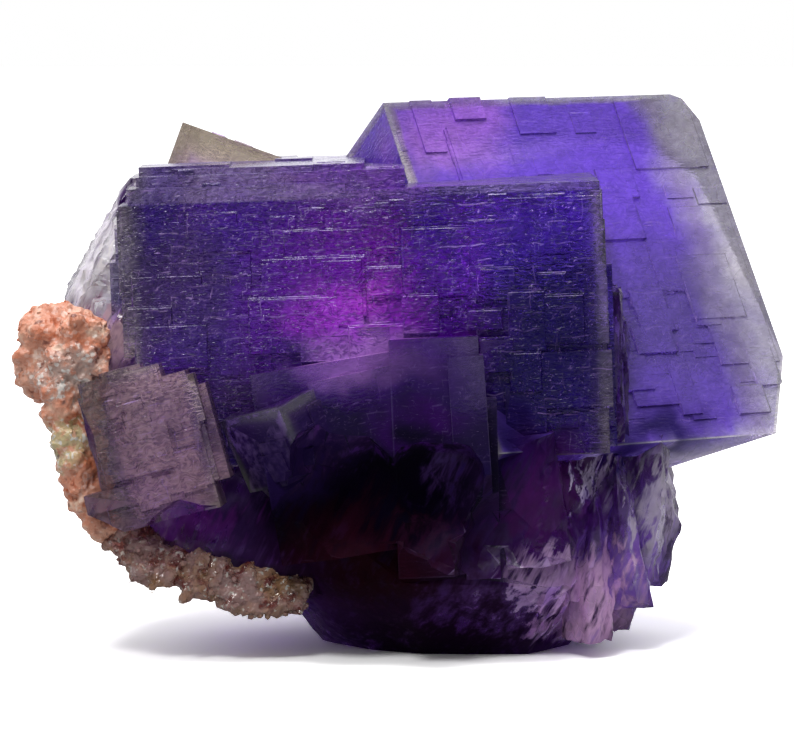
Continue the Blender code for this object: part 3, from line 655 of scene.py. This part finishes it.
def write_zones(mesh):
    """Write each corner's place in its crystal, each face's colours, its ripple, and the painted highlight
    and shade of its ledges.
    """
    count = len(mesh.loops)
    places = ("grown", "from_low", "from_high")
    colours = ("core", "band", "rim")
    data = {label: [0.0] * (count * 3) for label in places}
    paints = {label: [0.0] * (count * 4) for label in colours}
    ripples = [0.0] * count
    shades = [0.0] * count
    homes = mesh.attributes["home"].data
    for polygon in mesh.polygons:
        name = CRYSTAL_NAMES[homes[polygon.index].value]
        above = name == "main" and (FRAMES[name] @ (polygon.center * TO_MM)).z > TERRACE_LEVEL
        core, band, rim, low, high, ripple = ZONES["terrace" if above else name]
        # Painted ledge highlight and shade for this face, from the way it faces
        shade = painted_ledge_light(name, polygon)
        for loop in polygon.loop_indices:
            spot = mesh.vertices[mesh.loops[loop].vertex_index].co * TO_MM
            if name == "broken":
                local = spot
                near = far = Vector((9.0, 9.0, 9.0))
            else:
                local = FRAMES[name] @ spot
                width, depth, height = CRYSTALS[name][1]
                near = Vector((local.x / low[0], local.y / low[1], (local.z + height) / low[2]))
                far = Vector(((width - local.x) / high[0], (depth - local.y) / high[1], -local.z / high[2]))
                if name == "main":
                    far.z += 1.0 / high[2]
            data["grown"][loop * 3:loop * 3 + 3] = local
            data["from_low"][loop * 3:loop * 3 + 3] = near
            data["from_high"][loop * 3:loop * 3 + 3] = far
            ripples[loop] = ripple
            shades[loop] = shade
            for label, colour in zip(colours, (core, band, rim)):
                paints[label][loop * 4:loop * 4 + 4] = colour
    for label in places:
        mesh.attributes.new(label, "FLOAT_VECTOR", "CORNER").data.foreach_set("vector", data[label])
    for label in colours:
        mesh.attributes.new(label, "FLOAT_COLOR", "CORNER").data.foreach_set("color", paints[label])
    mesh.attributes.new("ripple", "FLOAT", "CORNER").data.foreach_set("value", ripples)
    mesh.attributes.new("step", "FLOAT", "CORNER").data.foreach_set("value", shades)


def make_fluorite(material):
    """The whole cluster of crystals as one mesh."""
    body = merged_copy("fluorite_cluster", "fluorite")
    body = fuse(body, placed_ledges())
    plate = link("plate", plate_mesh(
        "plate", -0.0005, 0.0005, -0.0005, 0.0005, 0.0007, 0.0, (0.00003, 0.00003, 0.00003, 0.00007),
    ))
    grow_plates(body, growth_tree(), plate, material)
    body = settled(body, "fluorite_crystals")
    bpy.data.objects.remove(plate, do_unlink=True)
    bm = bmesh.new()
    bm.from_mesh(body.data)
    bmesh.ops.remove_doubles(bm, verts=bm.verts, dist=2e-7)
    bmesh.ops.triangulate(bm, faces=bm.faces)
    layer = mark_homes(bm)
    refine_broken(bm, layer, BROKEN_EDGE)
    bm.normal_update()
    roughen_broken(bm, layer)
    bm.normal_update()
    set_creases(bm, layer)
    bm.to_mesh(body.data)
    bm.free()
    write_zones(body.data)
    body.data.materials.clear()
    body.data.materials.append(material)
    return body


# Materials

def new_material(name):
    """An empty material, its tree and its output."""
    material = bpy.data.materials.new(name)
    material.use_nodes = True
    tree = material.node_tree
    tree.nodes.clear()
    return material, tree, tree.nodes.new("ShaderNodeOutputMaterial")


def millimetres(tree):
    """Object coordinates in mm."""
    place = add(tree, "ShaderNodeTexCoord")
    scaled = {0: place.outputs["Object"], "Scale": TO_MM}
    return add(tree, "ShaderNodeVectorMath", scaled, operation="SCALE").outputs[0]


def number(tree, operation, first, second=None, third=None, clamp=False):
    """A sum on numbers."""
    made = add(tree, "ShaderNodeMath", {0: first}, operation=operation, use_clamp=clamp)
    for place, value in ((1, second), (2, third)):
        if value is None:
            continue
        if isinstance(value, bpy.types.NodeSocket):
            tree.links.new(value, made.inputs[place])
        else:
            made.inputs[place].default_value = value
    return made.outputs[0]


def mixed(tree, share, first, second, blend="MIX"):
    """Two colours mixed by a share."""
    made = add(tree, "ShaderNodeMix", data_type="RGBA", blend_type=blend)
    for place, value in ((0, share), (6, first), (7, second)):
        if isinstance(value, bpy.types.NodeSocket):
            tree.links.new(value, made.inputs[place])
        else:
            made.inputs[place].default_value = value
    return made.outputs[2]


def stretched(tree, vector, scale):
    """A vector with its three parts multiplied."""
    return vectors(tree, "MULTIPLY", vector, scale)


def noise_at(tree, vector, scale, detail=3.0, roughness=0.55):
    """Noise from 0 to 1."""
    return add(tree, "ShaderNodeTexNoise", {
        "Vector": vector, "Scale": scale, "Detail": detail, "Roughness": roughness,
    }).outputs["Fac"]


def ranged(tree, value, low, high, to_low=0.0, to_high=1.0, smooth=False):
    """A value mapped from one range to another."""
    return add(tree, "ShaderNodeMapRange", {
        "Value": value, "From Min": low, "From Max": high, "To Min": to_low, "To Max": to_high,
    }, interpolation_type="SMOOTHSTEP" if smooth else "LINEAR").outputs[0]


def cloud(tree, vector, centre, radii):
    """One in the middle of a soft ellipsoid, nothing outside it."""
    away = vectors(tree, "SUBTRACT", vector, centre)
    part = vectors(tree, "DIVIDE", away, radii)
    length = add(tree, "ShaderNodeVectorMath", {0: part}, operation="LENGTH").outputs["Value"]
    return ranged(tree, length, 1.25, 0.25, smooth=True)


def brick_steps(tree, grown, width, height, seed):
    """Flat steps of random height in a wall of uneven bricks, from 0 to 1."""
    parts = add(tree, "ShaderNodeSeparateXYZ", {0: grown}).outputs
    row = number(tree, "FLOOR", number(tree, "MULTIPLY_ADD", parts[2], 1.0 / height, 0.37))
    layer = number(tree, "FLOOR", number(tree, "MULTIPLY_ADD", parts[1], 0.625, 0.56))
    place = add(tree, "ShaderNodeCombineXYZ", {0: seed, 1: row, 2: layer}).outputs[0]
    shift = add(tree, "ShaderNodeTexWhiteNoise", {"Vector": place}, noise_dimensions="3D").outputs["Value"]
    wide = number(tree, "MULTIPLY_ADD", shift, 0.9 / width, 0.6 / width)
    across = number(tree, "MULTIPLY_ADD", parts[0], wide, number(tree, "MULTIPLY", shift, 37.0))
    column = number(tree, "FLOOR", across)
    brick = add(tree, "ShaderNodeCombineXYZ", {0: column, 1: row, 2: layer}).outputs[0]
    brick = vectors(tree, "ADD", brick, (seed, seed, seed))
    return add(tree, "ShaderNodeTexWhiteNoise", {"Vector": brick}, noise_dimensions="3D").outputs["Value"]


def bent_places(tree, grown):
    """Places in a crystal shifted a little, so that the bricks' edges run unevenly."""
    bend = ranged(tree, noise_at(tree, grown, 0.8, 1.0), 0.3, 0.7, -0.10, 0.10)
    return vectors(tree, "ADD", grown, bend)


def fluorite_relief(tree, place, grown, ripple):
    """The fine relief of the growth faces in mm: bricks, then hillocks drawn out sideways, then grain."""
    shaken = bent_places(tree, grown)
    coarse = number(tree, "MULTIPLY", brick_steps(tree, shaken, *COARSE_BRICKS), 0.020)
    finer = number(tree, "MULTIPLY", brick_steps(tree, shaken, *FINE_BRICKS), 0.012)
    hills = noise_at(tree, stretched(tree, grown, (2.0, 2.0, 6.5)), 1.0, 1.0, 0.5)
    hills = number(tree, "MULTIPLY", ranged(tree, hills, 0.35, 0.65, smooth=True), 0.026)
    grain = noise_at(tree, stretched(tree, grown, (5.0, 5.0, 12.0)), 1.0, 1.0)
    grain = number(tree, "MULTIPLY", grain, 0.012)
    bricks = number(tree, "ADD", coarse, finer)
    grown_relief = number(tree, "ADD", bricks, number(tree, "ADD", hills, grain))
    grown_relief = number(tree, "MULTIPLY", grown_relief, ripple)
    frost = number(tree, "MULTIPLY", noise_at(tree, place, 9.0, 1.0, 0.6), 0.006)
    shells = number(tree, "MULTIPLY", noise_at(tree, place, 1.3, 2.0, 0.6), 0.05)
    bare = number(tree, "SUBTRACT", 1.0, number(tree, "MULTIPLY", ripple, 6.0, clamp=True))
    frosted = number(tree, "ADD", grown_relief, frost)
    return number(tree, "ADD", frosted, number(tree, "MULTIPLY", shells, bare))


def shifted_by(tree, vector, shift):
    """A vector with a constant added."""
    return vectors(tree, "ADD", vector, shift)


def signed_steps(tree, grown, width, height, seed):
    """The rise from a brick to the one above it and to the one beside it, from -1 to 1."""
    here = brick_steps(tree, grown, width, height, seed)
    over = brick_steps(tree, shifted_by(tree, grown, (0.0, 0.0, 0.075)), width, height, seed)
    beside = brick_steps(tree, shifted_by(tree, grown, (-0.06, 0.0, 0.0)), width, height, seed)
    sideways = number(tree, "MULTIPLY", number(tree, "SUBTRACT", here, beside), 0.55)
    return number(tree, "ADD", number(tree, "SUBTRACT", here, over), sideways)


def streak_frame(tree, place):
    """Places turned so that z runs along the splinters, up and to the right."""
    lean = {"Vector": place, "Rotation": (0.0, -0.45, 0.0)}
    return add(tree, "ShaderNodeVectorRotate", lean, rotation_type="EULER_XYZ").outputs[0]


def painted_growth_light(tree, grown, ripple):
    """Shares of painted highlight and painted shade: bright upper edges and shadowed lower edges of the
    parquet's bricks, glints on the small hillocks and shade in the furrows between them.
    """
    shaken = bent_places(tree, grown)
    # Painted highlight where a brick stands prouder than the one above it, painted shadow where it sits lower
    fine_edges = number(tree, "MULTIPLY", signed_steps(tree, shaken, *FINE_BRICKS), 0.45)
    edges = number(tree, "ADD", signed_steps(tree, shaken, *COARSE_BRICKS), fine_edges)
    breaks = noise_at(tree, stretched(tree, grown, (1.3, 1.3, 0.6)), 1.0, 1.0)
    breaks = ranged(tree, breaks, 0.42, 0.55)
    edges = number(tree, "MULTIPLY", edges, breaks)
    waved = ranged(tree, noise_at(tree, grown, 1.1, 1.0), 0.3, 0.7, -0.5, 0.5)
    waved = vectors(tree, "ADD", grown, waved)
    hills = noise_at(tree, stretched(tree, waved, (1.9, 1.9, 4.8)), 1.0, 3.0, 0.6)
    sparks = noise_at(tree, stretched(tree, waved, (3.8, 3.8, 10.0)), 1.0, 2.0, 0.6)
    # Painted glints on the hillock tops
    glint = ranged(tree, hills, 0.63, 0.72, 0.0, 0.6)
    glint = number(tree, "ADD", glint, ranged(tree, sparks, 0.67, 0.71))
    light = number(tree, "ADD", number(tree, "MULTIPLY", edges, 1.1, clamp=True), glint, clamp=True)
    # Painted shade in the furrows between hillocks
    furrow_shade = ranged(tree, hills, 0.56, 0.42, 0.0, 0.80)
    dark = number(tree, "ADD", number(tree, "MULTIPLY", edges, -1.6, clamp=True), furrow_shade, clamp=True)
    light = number(tree, "MULTIPLY", light, ripple)
    dark = number(tree, "MULTIPLY", dark, ripple)
    return light, dark


def written(tree, name, kind):
    """What was written on the mesh under a name."""
    return add(tree, "ShaderNodeAttribute", attribute_name=name).outputs[kind]


def fluorite_material():
    """Purple fluorite: pale rims, deep cores, clouds of colour with a painted glow, rippled growth faces, and
    painted highlights and shade on its ledges and hillocks.
    """
    material, tree, output = new_material("fluorite_purple")
    place = millimetres(tree)
    low, high, grown = (written(tree, name, "Vector") for name in ("from_low", "from_high", "grown"))
    ripple, step = (written(tree, name, "Fac") for name in ("ripple", "step"))
    core, band, rim = (written(tree, name, "Color") for name in ("core", "band", "rim"))

    nearest = vectors(tree, "MINIMUM", low, high)
    parts = add(tree, "ShaderNodeSeparateXYZ", {0: nearest}).outputs
    smaller = number(tree, "MINIMUM", parts[0], parts[1])
    larger = number(tree, "MAXIMUM", parts[0], parts[1])
    middle = number(tree, "MAXIMUM", smaller, number(tree, "MINIMUM", larger, parts[2]))
    wobble = ranged(tree, noise_at(tree, place, 0.2, 1.0), 0.3, 0.7, -0.15, 0.15)
    zone = number(tree, "ADD", middle, wobble)
    inner = ranged(tree, zone, 0.7, 1.3, smooth=True)
    outer = ranged(tree, zone, 0.25, 0.8, smooth=True)
    colour = mixed(tree, outer, rim, mixed(tree, inner, band, core))

    drift = ranged(tree, noise_at(tree, place, 0.28, 2.0), 0.35, 0.65, -0.8, 0.8)
    streaks = noise_at(tree, stretched(tree, streak_frame(tree, place), (1.5, 1.5, 0.22)), 1.0, 3.0, 0.65)
    streaks = ranged(tree, streaks, 0.35, 0.65, -1.4, 1.4)
    broken = number(tree, "SUBTRACT", 1.0, number(tree, "MULTIPLY", ripple, 3.0, clamp=True))
    drift = number(tree, "MULTIPLY_ADD", streaks, broken, drift)
    shifted = vectors(tree, "ADD", place, drift)
    open_share = 1.0
    for centre, radii, paint, strength, closed in CLOUDS:
        share = number(tree, "MULTIPLY", cloud(tree, shifted, centre, radii), strength)
        colour = mixed(tree, share, colour, paint)
        if closed:
            kept = number(tree, "MULTIPLY_ADD", share, -closed, 1.0)
            open_share = number(tree, "MULTIPLY", kept, open_share)

    mottle = ranged(tree, noise_at(tree, place, 0.9, 3.0, 0.6), 0.3, 0.7, 0.84, 1.16)
    mottle = add(tree, "ShaderNodeCombineXYZ", {0: mottle, 1: mottle, 2: mottle}).outputs[0]
    colour = mixed(tree, 1.0, colour, mottle, "MULTIPLY")
    # Painted light: highlights and shade from the ledges, bricks and hillocks, laid into the colour
    marked = number(tree, "MULTIPLY", ripple, open_share)
    light, dark = painted_growth_light(tree, grown, marked)
    # Painted highlight on the ledges' upper edges, broken up by noise
    highlight_gaps = ranged(tree, noise_at(tree, grown, 1.6, 2.0), 0.42, 0.60)
    upper = number(tree, "MULTIPLY", number(tree, "MULTIPLY", step, highlight_gaps), open_share, clamp=True)
    light = number(tree, "MAXIMUM", light, number(tree, "MULTIPLY", upper, 0.7))
    # Painted shade on the ledges' undersides
    underside_shade = number(tree, "MULTIPLY", step, -0.75, clamp=True)
    dark = number(tree, "MAXIMUM", number(tree, "MULTIPLY", dark, 0.9), underside_shade)
    # Painted shade: the colour darkened toward deep purple
    shaded = mixed(tree, 1.0, colour, (0.20, 0.14, 0.30, 1.0), "MULTIPLY")
    colour = mixed(tree, dark, colour, shaded)
    # Painted highlight: the colour lifted toward pale lilac
    colour = mixed(tree, number(tree, "MULTIPLY", light, 0.62), colour, tint(200, 160, 244))

    relief = fluorite_relief(tree, place, grown, ripple)
    bump = add(tree, "ShaderNodeBump", {"Strength": 1.0, "Distance": MM, "Height": relief}).outputs[0]
    roughness = ranged(tree, noise_at(tree, place, 0.7, 1.0), 0.4, 0.65, 0.14, 0.30)
    roughness = number(tree, "MAXIMUM", roughness, number(tree, "MULTIPLY_ADD", open_share, -0.7, 0.7))
    clear = number(tree, "SUBTRACT", 1.0, inner)
    passing = number(tree, "MULTIPLY", number(tree, "MULTIPLY_ADD", clear, 0.22, 0.55), open_share)
    shader = add(tree, "ShaderNodeBsdfPrincipled", {
        "Base Color": colour,
        "Roughness": roughness,
        "IOR": 1.434,
        "Specular IOR Level": 0.32,
        "Specular Tint": mixed(tree, open_share, tint(40, 34, 60), tint(255, 255, 255)),
        "Transmission Weight": passing,
        "Normal": bump,
    })
    depth = add(tree, "ShaderNodeVolumeAbsorption", {"Color": (0.50, 0.36, 0.86, 1.0), "Density": 16.0})
    tree.links.new(shader.outputs[0], output.inputs["Surface"])
    tree.links.new(depth.outputs[0], output.inputs["Volume"])
    return material


def crust_material():
    """Orange, peach and cream iron stain over sugary quartz, with a glassy patch and painted glints."""
    material, tree, output = new_material("iron_stain")
    place = millimetres(tree)
    broad = noise_at(tree, place, 0.55, 4.0, 0.6)
    spots = noise_at(tree, place, 2.2, 3.0, 0.6)
    colour = mixed(tree, ranged(tree, broad, 0.38, 0.62), tint(190, 108, 74), tint(214, 156, 132))
    colour = mixed(tree, ranged(tree, spots, 0.56, 0.68, 0.0, 0.8), colour, tint(184, 88, 46))
    cream = ranged(tree, noise_at(tree, place, 1.1, 3.0), 0.58, 0.72, 0.0, 0.7)
    colour = mixed(tree, cream, colour, tint(240, 214, 190))
    ragged = ranged(tree, noise_at(tree, place, 1.6, 3.0), 0.3, 0.7, -1.0, 1.0)
    shifted = vectors(tree, "ADD", place, ragged)
    glass = cloud(tree, shifted, (-19.2, -10.0, 17.4), (2.3, 4.0, 1.7))
    lemon = cloud(tree, shifted, (-19.6, -11.0, 13.2), (1.8, 3.0, 1.4))
    colour = mixed(tree, number(tree, "MULTIPLY", glass, 0.75), colour, tint(214, 196, 188))
    colour = mixed(tree, number(tree, "MULTIPLY", lemon, 0.8), colour, tint(232, 222, 170))
    clear = number(tree, "MAXIMUM", glass, lemon)
    pits = ranged(tree, noise_at(tree, place, 1.5, 2.0), 0.30, 0.38, 1.0, 0.0)
    colour = mixed(tree, number(tree, "MULTIPLY", pits, 0.8), colour, tint(104, 44, 28))
    grit = noise_at(tree, place, 6.0, 4.0, 0.65)
    facets = add(tree, "ShaderNodeTexVoronoi", {"Vector": place, "Scale": 3.6}).outputs["Distance"]
    height = number(tree, "ADD", number(tree, "MULTIPLY", grit, 0.05), number(tree, "MULTIPLY", facets, 0.10))
    bump = add(tree, "ShaderNodeBump", {"Strength": 0.8, "Distance": MM, "Height": height}).outputs[0]
    dull = ranged(tree, spots, 0.35, 0.65, 0.22, 0.6)
    # Painted glints: a few small cells lifted to near white, most of them in the glassy patch
    cells = add(tree, "ShaderNodeTexVoronoi", {"Vector": place, "Scale": 4.5}).outputs["Color"]
    cells = add(tree, "ShaderNodeSeparateXYZ", {0: cells}).outputs[0]
    spark = ranged(tree, cells, 0.80, 0.86, 0.0, 1.0)
    spark = number(tree, "MULTIPLY", spark, number(tree, "MULTIPLY_ADD", clear, 0.8, 0.18, clamp=True))
    colour = mixed(tree, spark, colour, tint(255, 250, 244))
    shader = add(tree, "ShaderNodeBsdfPrincipled", {
        "Base Color": colour,
        "Roughness": number(tree, "MULTIPLY", dull, number(tree, "MULTIPLY_ADD", clear, -0.75, 1.0)),
        "IOR": 1.54,
        "Transmission Weight": number(tree, "MULTIPLY", clear, 0.35),
        "Normal": bump,
    })
    tree.links.new(shader.outputs[0], output.inputs["Surface"])
    return material


def quartz_material():
    """Clear quartz grains with a pale yellow, pink and rusty stain."""
    material, tree, output = new_material("quartz_clear")
    place = millimetres(tree)
    stain = ranged(tree, noise_at(tree, place, 0.5, 3.0), 0.40, 0.62)
    colour = mixed(tree, stain, tint(210, 168, 164), tint(206, 158, 118))
    rust = ranged(tree, noise_at(tree, place, 0.9, 3.0), 0.52, 0.64)
    colour = mixed(tree, rust, colour, tint(140, 66, 62))
    grain = ranged(tree, noise_at(tree, place, 3.0, 2.0), 0.60, 0.68)
    colour = mixed(tree, grain, colour, tint(255, 250, 240))
    grit = noise_at(tree, place, 5.0, 3.0, 0.6)
    bump = add(tree, "ShaderNodeBump", {"Strength": 0.35, "Distance": 0.00010, "Height": grit}).outputs[0]
    shader = add(tree, "ShaderNodeBsdfPrincipled", {
        "Base Color": colour,
        "Roughness": 0.08,
        "IOR": 1.544,
        "Transmission Weight": 0.6,
        "Normal": bump,
    })
    tree.links.new(shader.outputs[0], output.inputs["Surface"])
    return material


# Crust and quartz rim

def points_tree():
    """Small six-sided quartz points scattered over a surface and joined to it."""
    tree, inlet, outlet = new_tree("quartz points", (
        ("Density", "NodeSocketFloat", 100000.0),
        ("Width", "NodeSocketFloat", 0.0002),
        ("Length", "NodeSocketFloat", 0.0004),
        ("Smallest", "NodeSocketFloat", 0.5),
        ("Seed", "NodeSocketInt", 0),
        ("Material", "NodeSocketMaterial", None),
    ))
    spread = add(tree, "GeometryNodeDistributePointsOnFaces", {
        "Mesh": inlet.outputs["Geometry"],
        "Density": inlet.outputs["Density"],
        "Seed": inlet.outputs["Seed"],
    })
    prism = add(tree, "GeometryNodeMeshCylinder", {
        "Vertices": 6, "Radius": inlet.outputs["Width"], "Depth": inlet.outputs["Length"],
    }, fill_type="TRIANGLE_FAN")
    tip = add(tree, "GeometryNodeMeshCone", {
        "Vertices": 6,
        "Radius Top": 0.0,
        "Radius Bottom": inlet.outputs["Width"],
        "Depth": inlet.outputs["Width"],
    })
    half = add(tree, "ShaderNodeMath", {0: inlet.outputs["Length"], 1: 0.5}, operation="MULTIPLY")
    lift = add(tree, "ShaderNodeCombineXYZ", {2: half.outputs[0]})
    raised = add(tree, "GeometryNodeTransform", {"Geometry": tip.outputs[0], "Translation": lift.outputs[0]})
    shape = add(tree, "GeometryNodeJoinGeometry")
    tree.links.new(prism.outputs[0], shape.inputs[0])
    tree.links.new(raised.outputs[0], shape.inputs[0])
    sizes = add(tree, "FunctionNodeRandomValue", {
        2: inlet.outputs["Smallest"], 3: 1.0, "Seed": inlet.outputs["Seed"],
    }, data_type="FLOAT")
    lean = add(tree, "FunctionNodeRandomValue", {
        "Min": (-0.7, -0.7, -3.1), "Max": (0.7, 0.7, 3.1), "Seed": inlet.outputs["Seed"],
    }, data_type="FLOAT_VECTOR")
    turn = add(tree, "FunctionNodeRotateRotation", {
        "Rotation": spread.outputs["Rotation"], "Rotate By": lean.outputs[0],
    }, rotation_space="LOCAL")
    planted = add(tree, "GeometryNodeInstanceOnPoints", {
        "Points": spread.outputs["Points"],
        "Instance": shape.outputs[0],
        "Rotation": turn.outputs[0],
        "Scale": sizes.outputs[1],
    })
    joined = add(tree, "GeometryNodeJoinGeometry")
    tree.links.new(planted.outputs[0], joined.inputs[0])
    tree.links.new(inlet.outputs["Geometry"], joined.inputs[0])
    plain = add(tree, "GeometryNodeRealizeInstances", {"Geometry": joined.outputs[0]})
    finish = add(tree, "GeometryNodeSetMaterial", {
        "Geometry": plain.outputs[0], "Material": inlet.outputs["Material"],
    })
    tree.links.new(finish.outputs[0], outlet.inputs[0])
    return tree


def spread_copy(node, name, shifts):
    """A node's mesh with shifted copies of it, which close the way to the crystals."""
    bm = bmesh.new()
    for shift in ((0.0, 0.0, 0.0), *shifts):
        first = len(bm.verts)
        bm.from_mesh(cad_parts[node].data)
        bm.verts.ensure_lookup_table()
        bmesh.ops.translate(bm, vec=Vector(shift) * MM, verts=bm.verts[first:])
    bmesh.ops.remove_doubles(bm, verts=bm.verts, dist=1e-7)
    mesh = bpy.data.meshes.new(name)
    bm.to_mesh(mesh)
    bm.free()
    return link(name, mesh)


def knobbly(body, voxel, broad, fine, seed):
    """Remesh a lumpy solid finely and roughen it."""
    modifier = body.modifiers.new("voxels", "REMESH")
    modifier.mode = "VOXEL"
    modifier.voxel_size = voxel * MM
    body = settled(body, body.name)
    bm = bmesh.new()
    bm.from_mesh(body.data)
    bm.normal_update()
    offset = Vector((seed, seed * 2.0, seed * 3.0))
    moves = []
    for vert in bm.verts:
        spot = vert.co * TO_MM + offset
        amount = broad * noise.noise(spot * 0.9) + fine * noise.noise(spot * 2.4)
        amount += 0.5 * fine * noise.noise(spot * 5.0)
        amount -= 0.7 * max(0.0, noise.noise(spot * 1.3 + offset) - 0.34)
        moves.append((vert, vert.normal * (amount * MM)))
    for vert, move in moves:
        vert.co += move
    bm.to_mesh(body.data)
    bm.free()
    return body


def make_crust(material, tree):
    """The iron-stained crust."""
    body = spread_copy("iron_stained_crust", "crust", ((0.7, 0.8, 0.1), (1.2, 0.5, -0.2), (0.5, 0.2, -0.5)))
    body = knobbly(body, 0.13, 0.30, 0.10, 4.0)
    use_tree(body, tree, {
        "Density": 0.35e6,
        "Width": 0.13 * MM,
        "Length": 0.15 * MM,
        "Smallest": 0.5,
        "Seed": 9,
        "Material": material,
    })
    body = settled(body, "rusty_crust")
    body.data.shade_smooth()
    body.data.set_sharp_from_angle(angle=math.radians(40))
    body.data.materials.clear()
    body.data.materials.append(material)
    return body


def make_rim(material, tree):
    """The quartz rim with its many small points."""
    body = spread_copy("quartz_druse", "rim", ((0.3, 0.6, 0.5), (0.5, 0.3, 0.9), (0.6, 1.0, 1.2)))
    body = knobbly(body, 0.16, 0.34, 0.16, 2.0)
    use_tree(body, tree, {
        "Density": 1.1e6,
        "Width": 0.22 * MM,
        "Length": 0.26 * MM,
        "Smallest": 0.35,
        "Seed": 5,
        "Material": material,
    })
    body = settled(body, "quartz_rim")
    body.data.materials.clear()
    body.data.materials.append(material)
    return body


# Stage

def paper_material():
    """Plain pale paper, which looks white and sends only part of its light back to the crystal."""
    material, tree, output = new_material("pale_floor")
    path = add(tree, "ShaderNodeLightPath")
    colour = mixed(tree, path.outputs["Is Camera Ray"], (0.40, 0.40, 0.40, 1.0), (1.7, 1.7, 1.7, 1.0))
    shader = add(tree, "ShaderNodeBsdfDiffuse", {"Color": colour})
    tree.links.new(shader.outputs[0], output.inputs["Surface"])
    return material


def make_floor():
    """A pale floor."""
    bm = bmesh.new()
    bmesh.ops.create_circle(bm, cap_ends=True, segments=96, radius=2.0)
    bmesh.ops.translate(bm, vec=(0.0, 0.0, -0.00002), verts=bm.verts)
    mesh = bpy.data.meshes.new("floor")
    bm.to_mesh(mesh)
    bm.free()
    mesh.materials.append(paper_material())
    floor = link("floor", mesh)


def area_light(name, place, aim, size, power):
    """A soft square lamp."""
    light = bpy.data.lights.new(name, "AREA")
    light.shape = "SQUARE"
    light.size = size
    light.energy = power
    lamp = bpy.data.objects.new(name, light)
    bpy.context.scene.collection.objects.link(lamp)
    lamp.location = place
    lamp.rotation_euler = (Vector(aim) - Vector(place)).to_track_quat("-Z", "Y").to_euler()


def make_world():
    """White all round for the eye, brighter from behind and above for the crystal."""
    world = bpy.data.worlds.new("studio")
    bpy.context.scene.world = world
    world.use_nodes = True
    tree = world.node_tree
    tree.nodes.clear()
    output = tree.nodes.new("ShaderNodeOutputWorld")
    coords = add(tree, "ShaderNodeTexCoord")
    parts = add(tree, "ShaderNodeSeparateXYZ", {0: coords.outputs["Generated"]}).outputs
    behind = ranged(tree, parts[1], -0.3, 0.6, 0.035, 1.3, smooth=True)
    above = ranged(tree, parts[2], 0.25, 0.85, 0.0, 0.8, smooth=True)
    level = number(tree, "MAXIMUM", behind, above)
    path = add(tree, "ShaderNodeLightPath")
    strength = add(tree, "ShaderNodeMix", {0: path.outputs["Is Camera Ray"], 2: level, 3: 1.0}).outputs[0]
    ground = add(tree, "ShaderNodeBackground", {"Color": (1.0, 1.0, 1.0, 1.0), "Strength": strength})
    tree.links.new(ground.outputs[0], output.inputs[0])


def make_camera():
    """The camera at the photograph's viewing angle."""
    image_width = 794
    pixels_per_mm = 16.4
    distance = 0.26
    pitch = math.radians(5.0)
    aim = Vector((-0.0002, 0.0, 0.0167))
    data = bpy.data.cameras.new("camera")
    data.sensor_width = 36.0
    data.lens = pixels_per_mm * TO_MM * distance / image_width * data.sensor_width
    data.clip_start = 0.01
    data.clip_end = 10.0
    camera = bpy.data.objects.new("camera", data)
    bpy.context.scene.collection.objects.link(camera)
    camera.location = aim - Vector((0.0, math.cos(pitch), -math.sin(pitch))) * distance
    camera.rotation_euler = (math.pi / 2 - pitch, 0.0, 0.0)
    bpy.context.scene.camera = camera


def dress():
    """Make the pieces, hang them on the root body and hide the parts that they replace."""
    fluorite = make_fluorite(fluorite_material())
    points = points_tree()
    crust = make_crust(crust_material(), points)
    rim = make_rim(quartz_material(), points)
    for piece, node, slot in (
        (fluorite, "fluorite_cluster", "fluorite"),
        (crust, "iron_stained_crust", "iron_crust"),
        (rim, "quartz_druse", "quartz"),
    ):
        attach(piece, "root")
        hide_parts(node)


make_camera()
make_world()
make_floor()
area_light("overhead", (-0.03, -0.06, 0.45), (0.0, 0.0, 0.02), 0.22, 1.6)
area_light("key", (-0.10, -0.34, 0.42), (0.0, 0.0, 0.02), 0.10, 0.9)
dress()

scene = bpy.context.scene
scene.view_settings.view_transform = "Standard"
scene.cycles.max_bounces = 4
scene.cycles.diffuse_bounces = 2
scene.cycles.glossy_bounces = 2
scene.cycles.transmission_bounces = 4
scene.cycles.transparent_max_bounces = 4
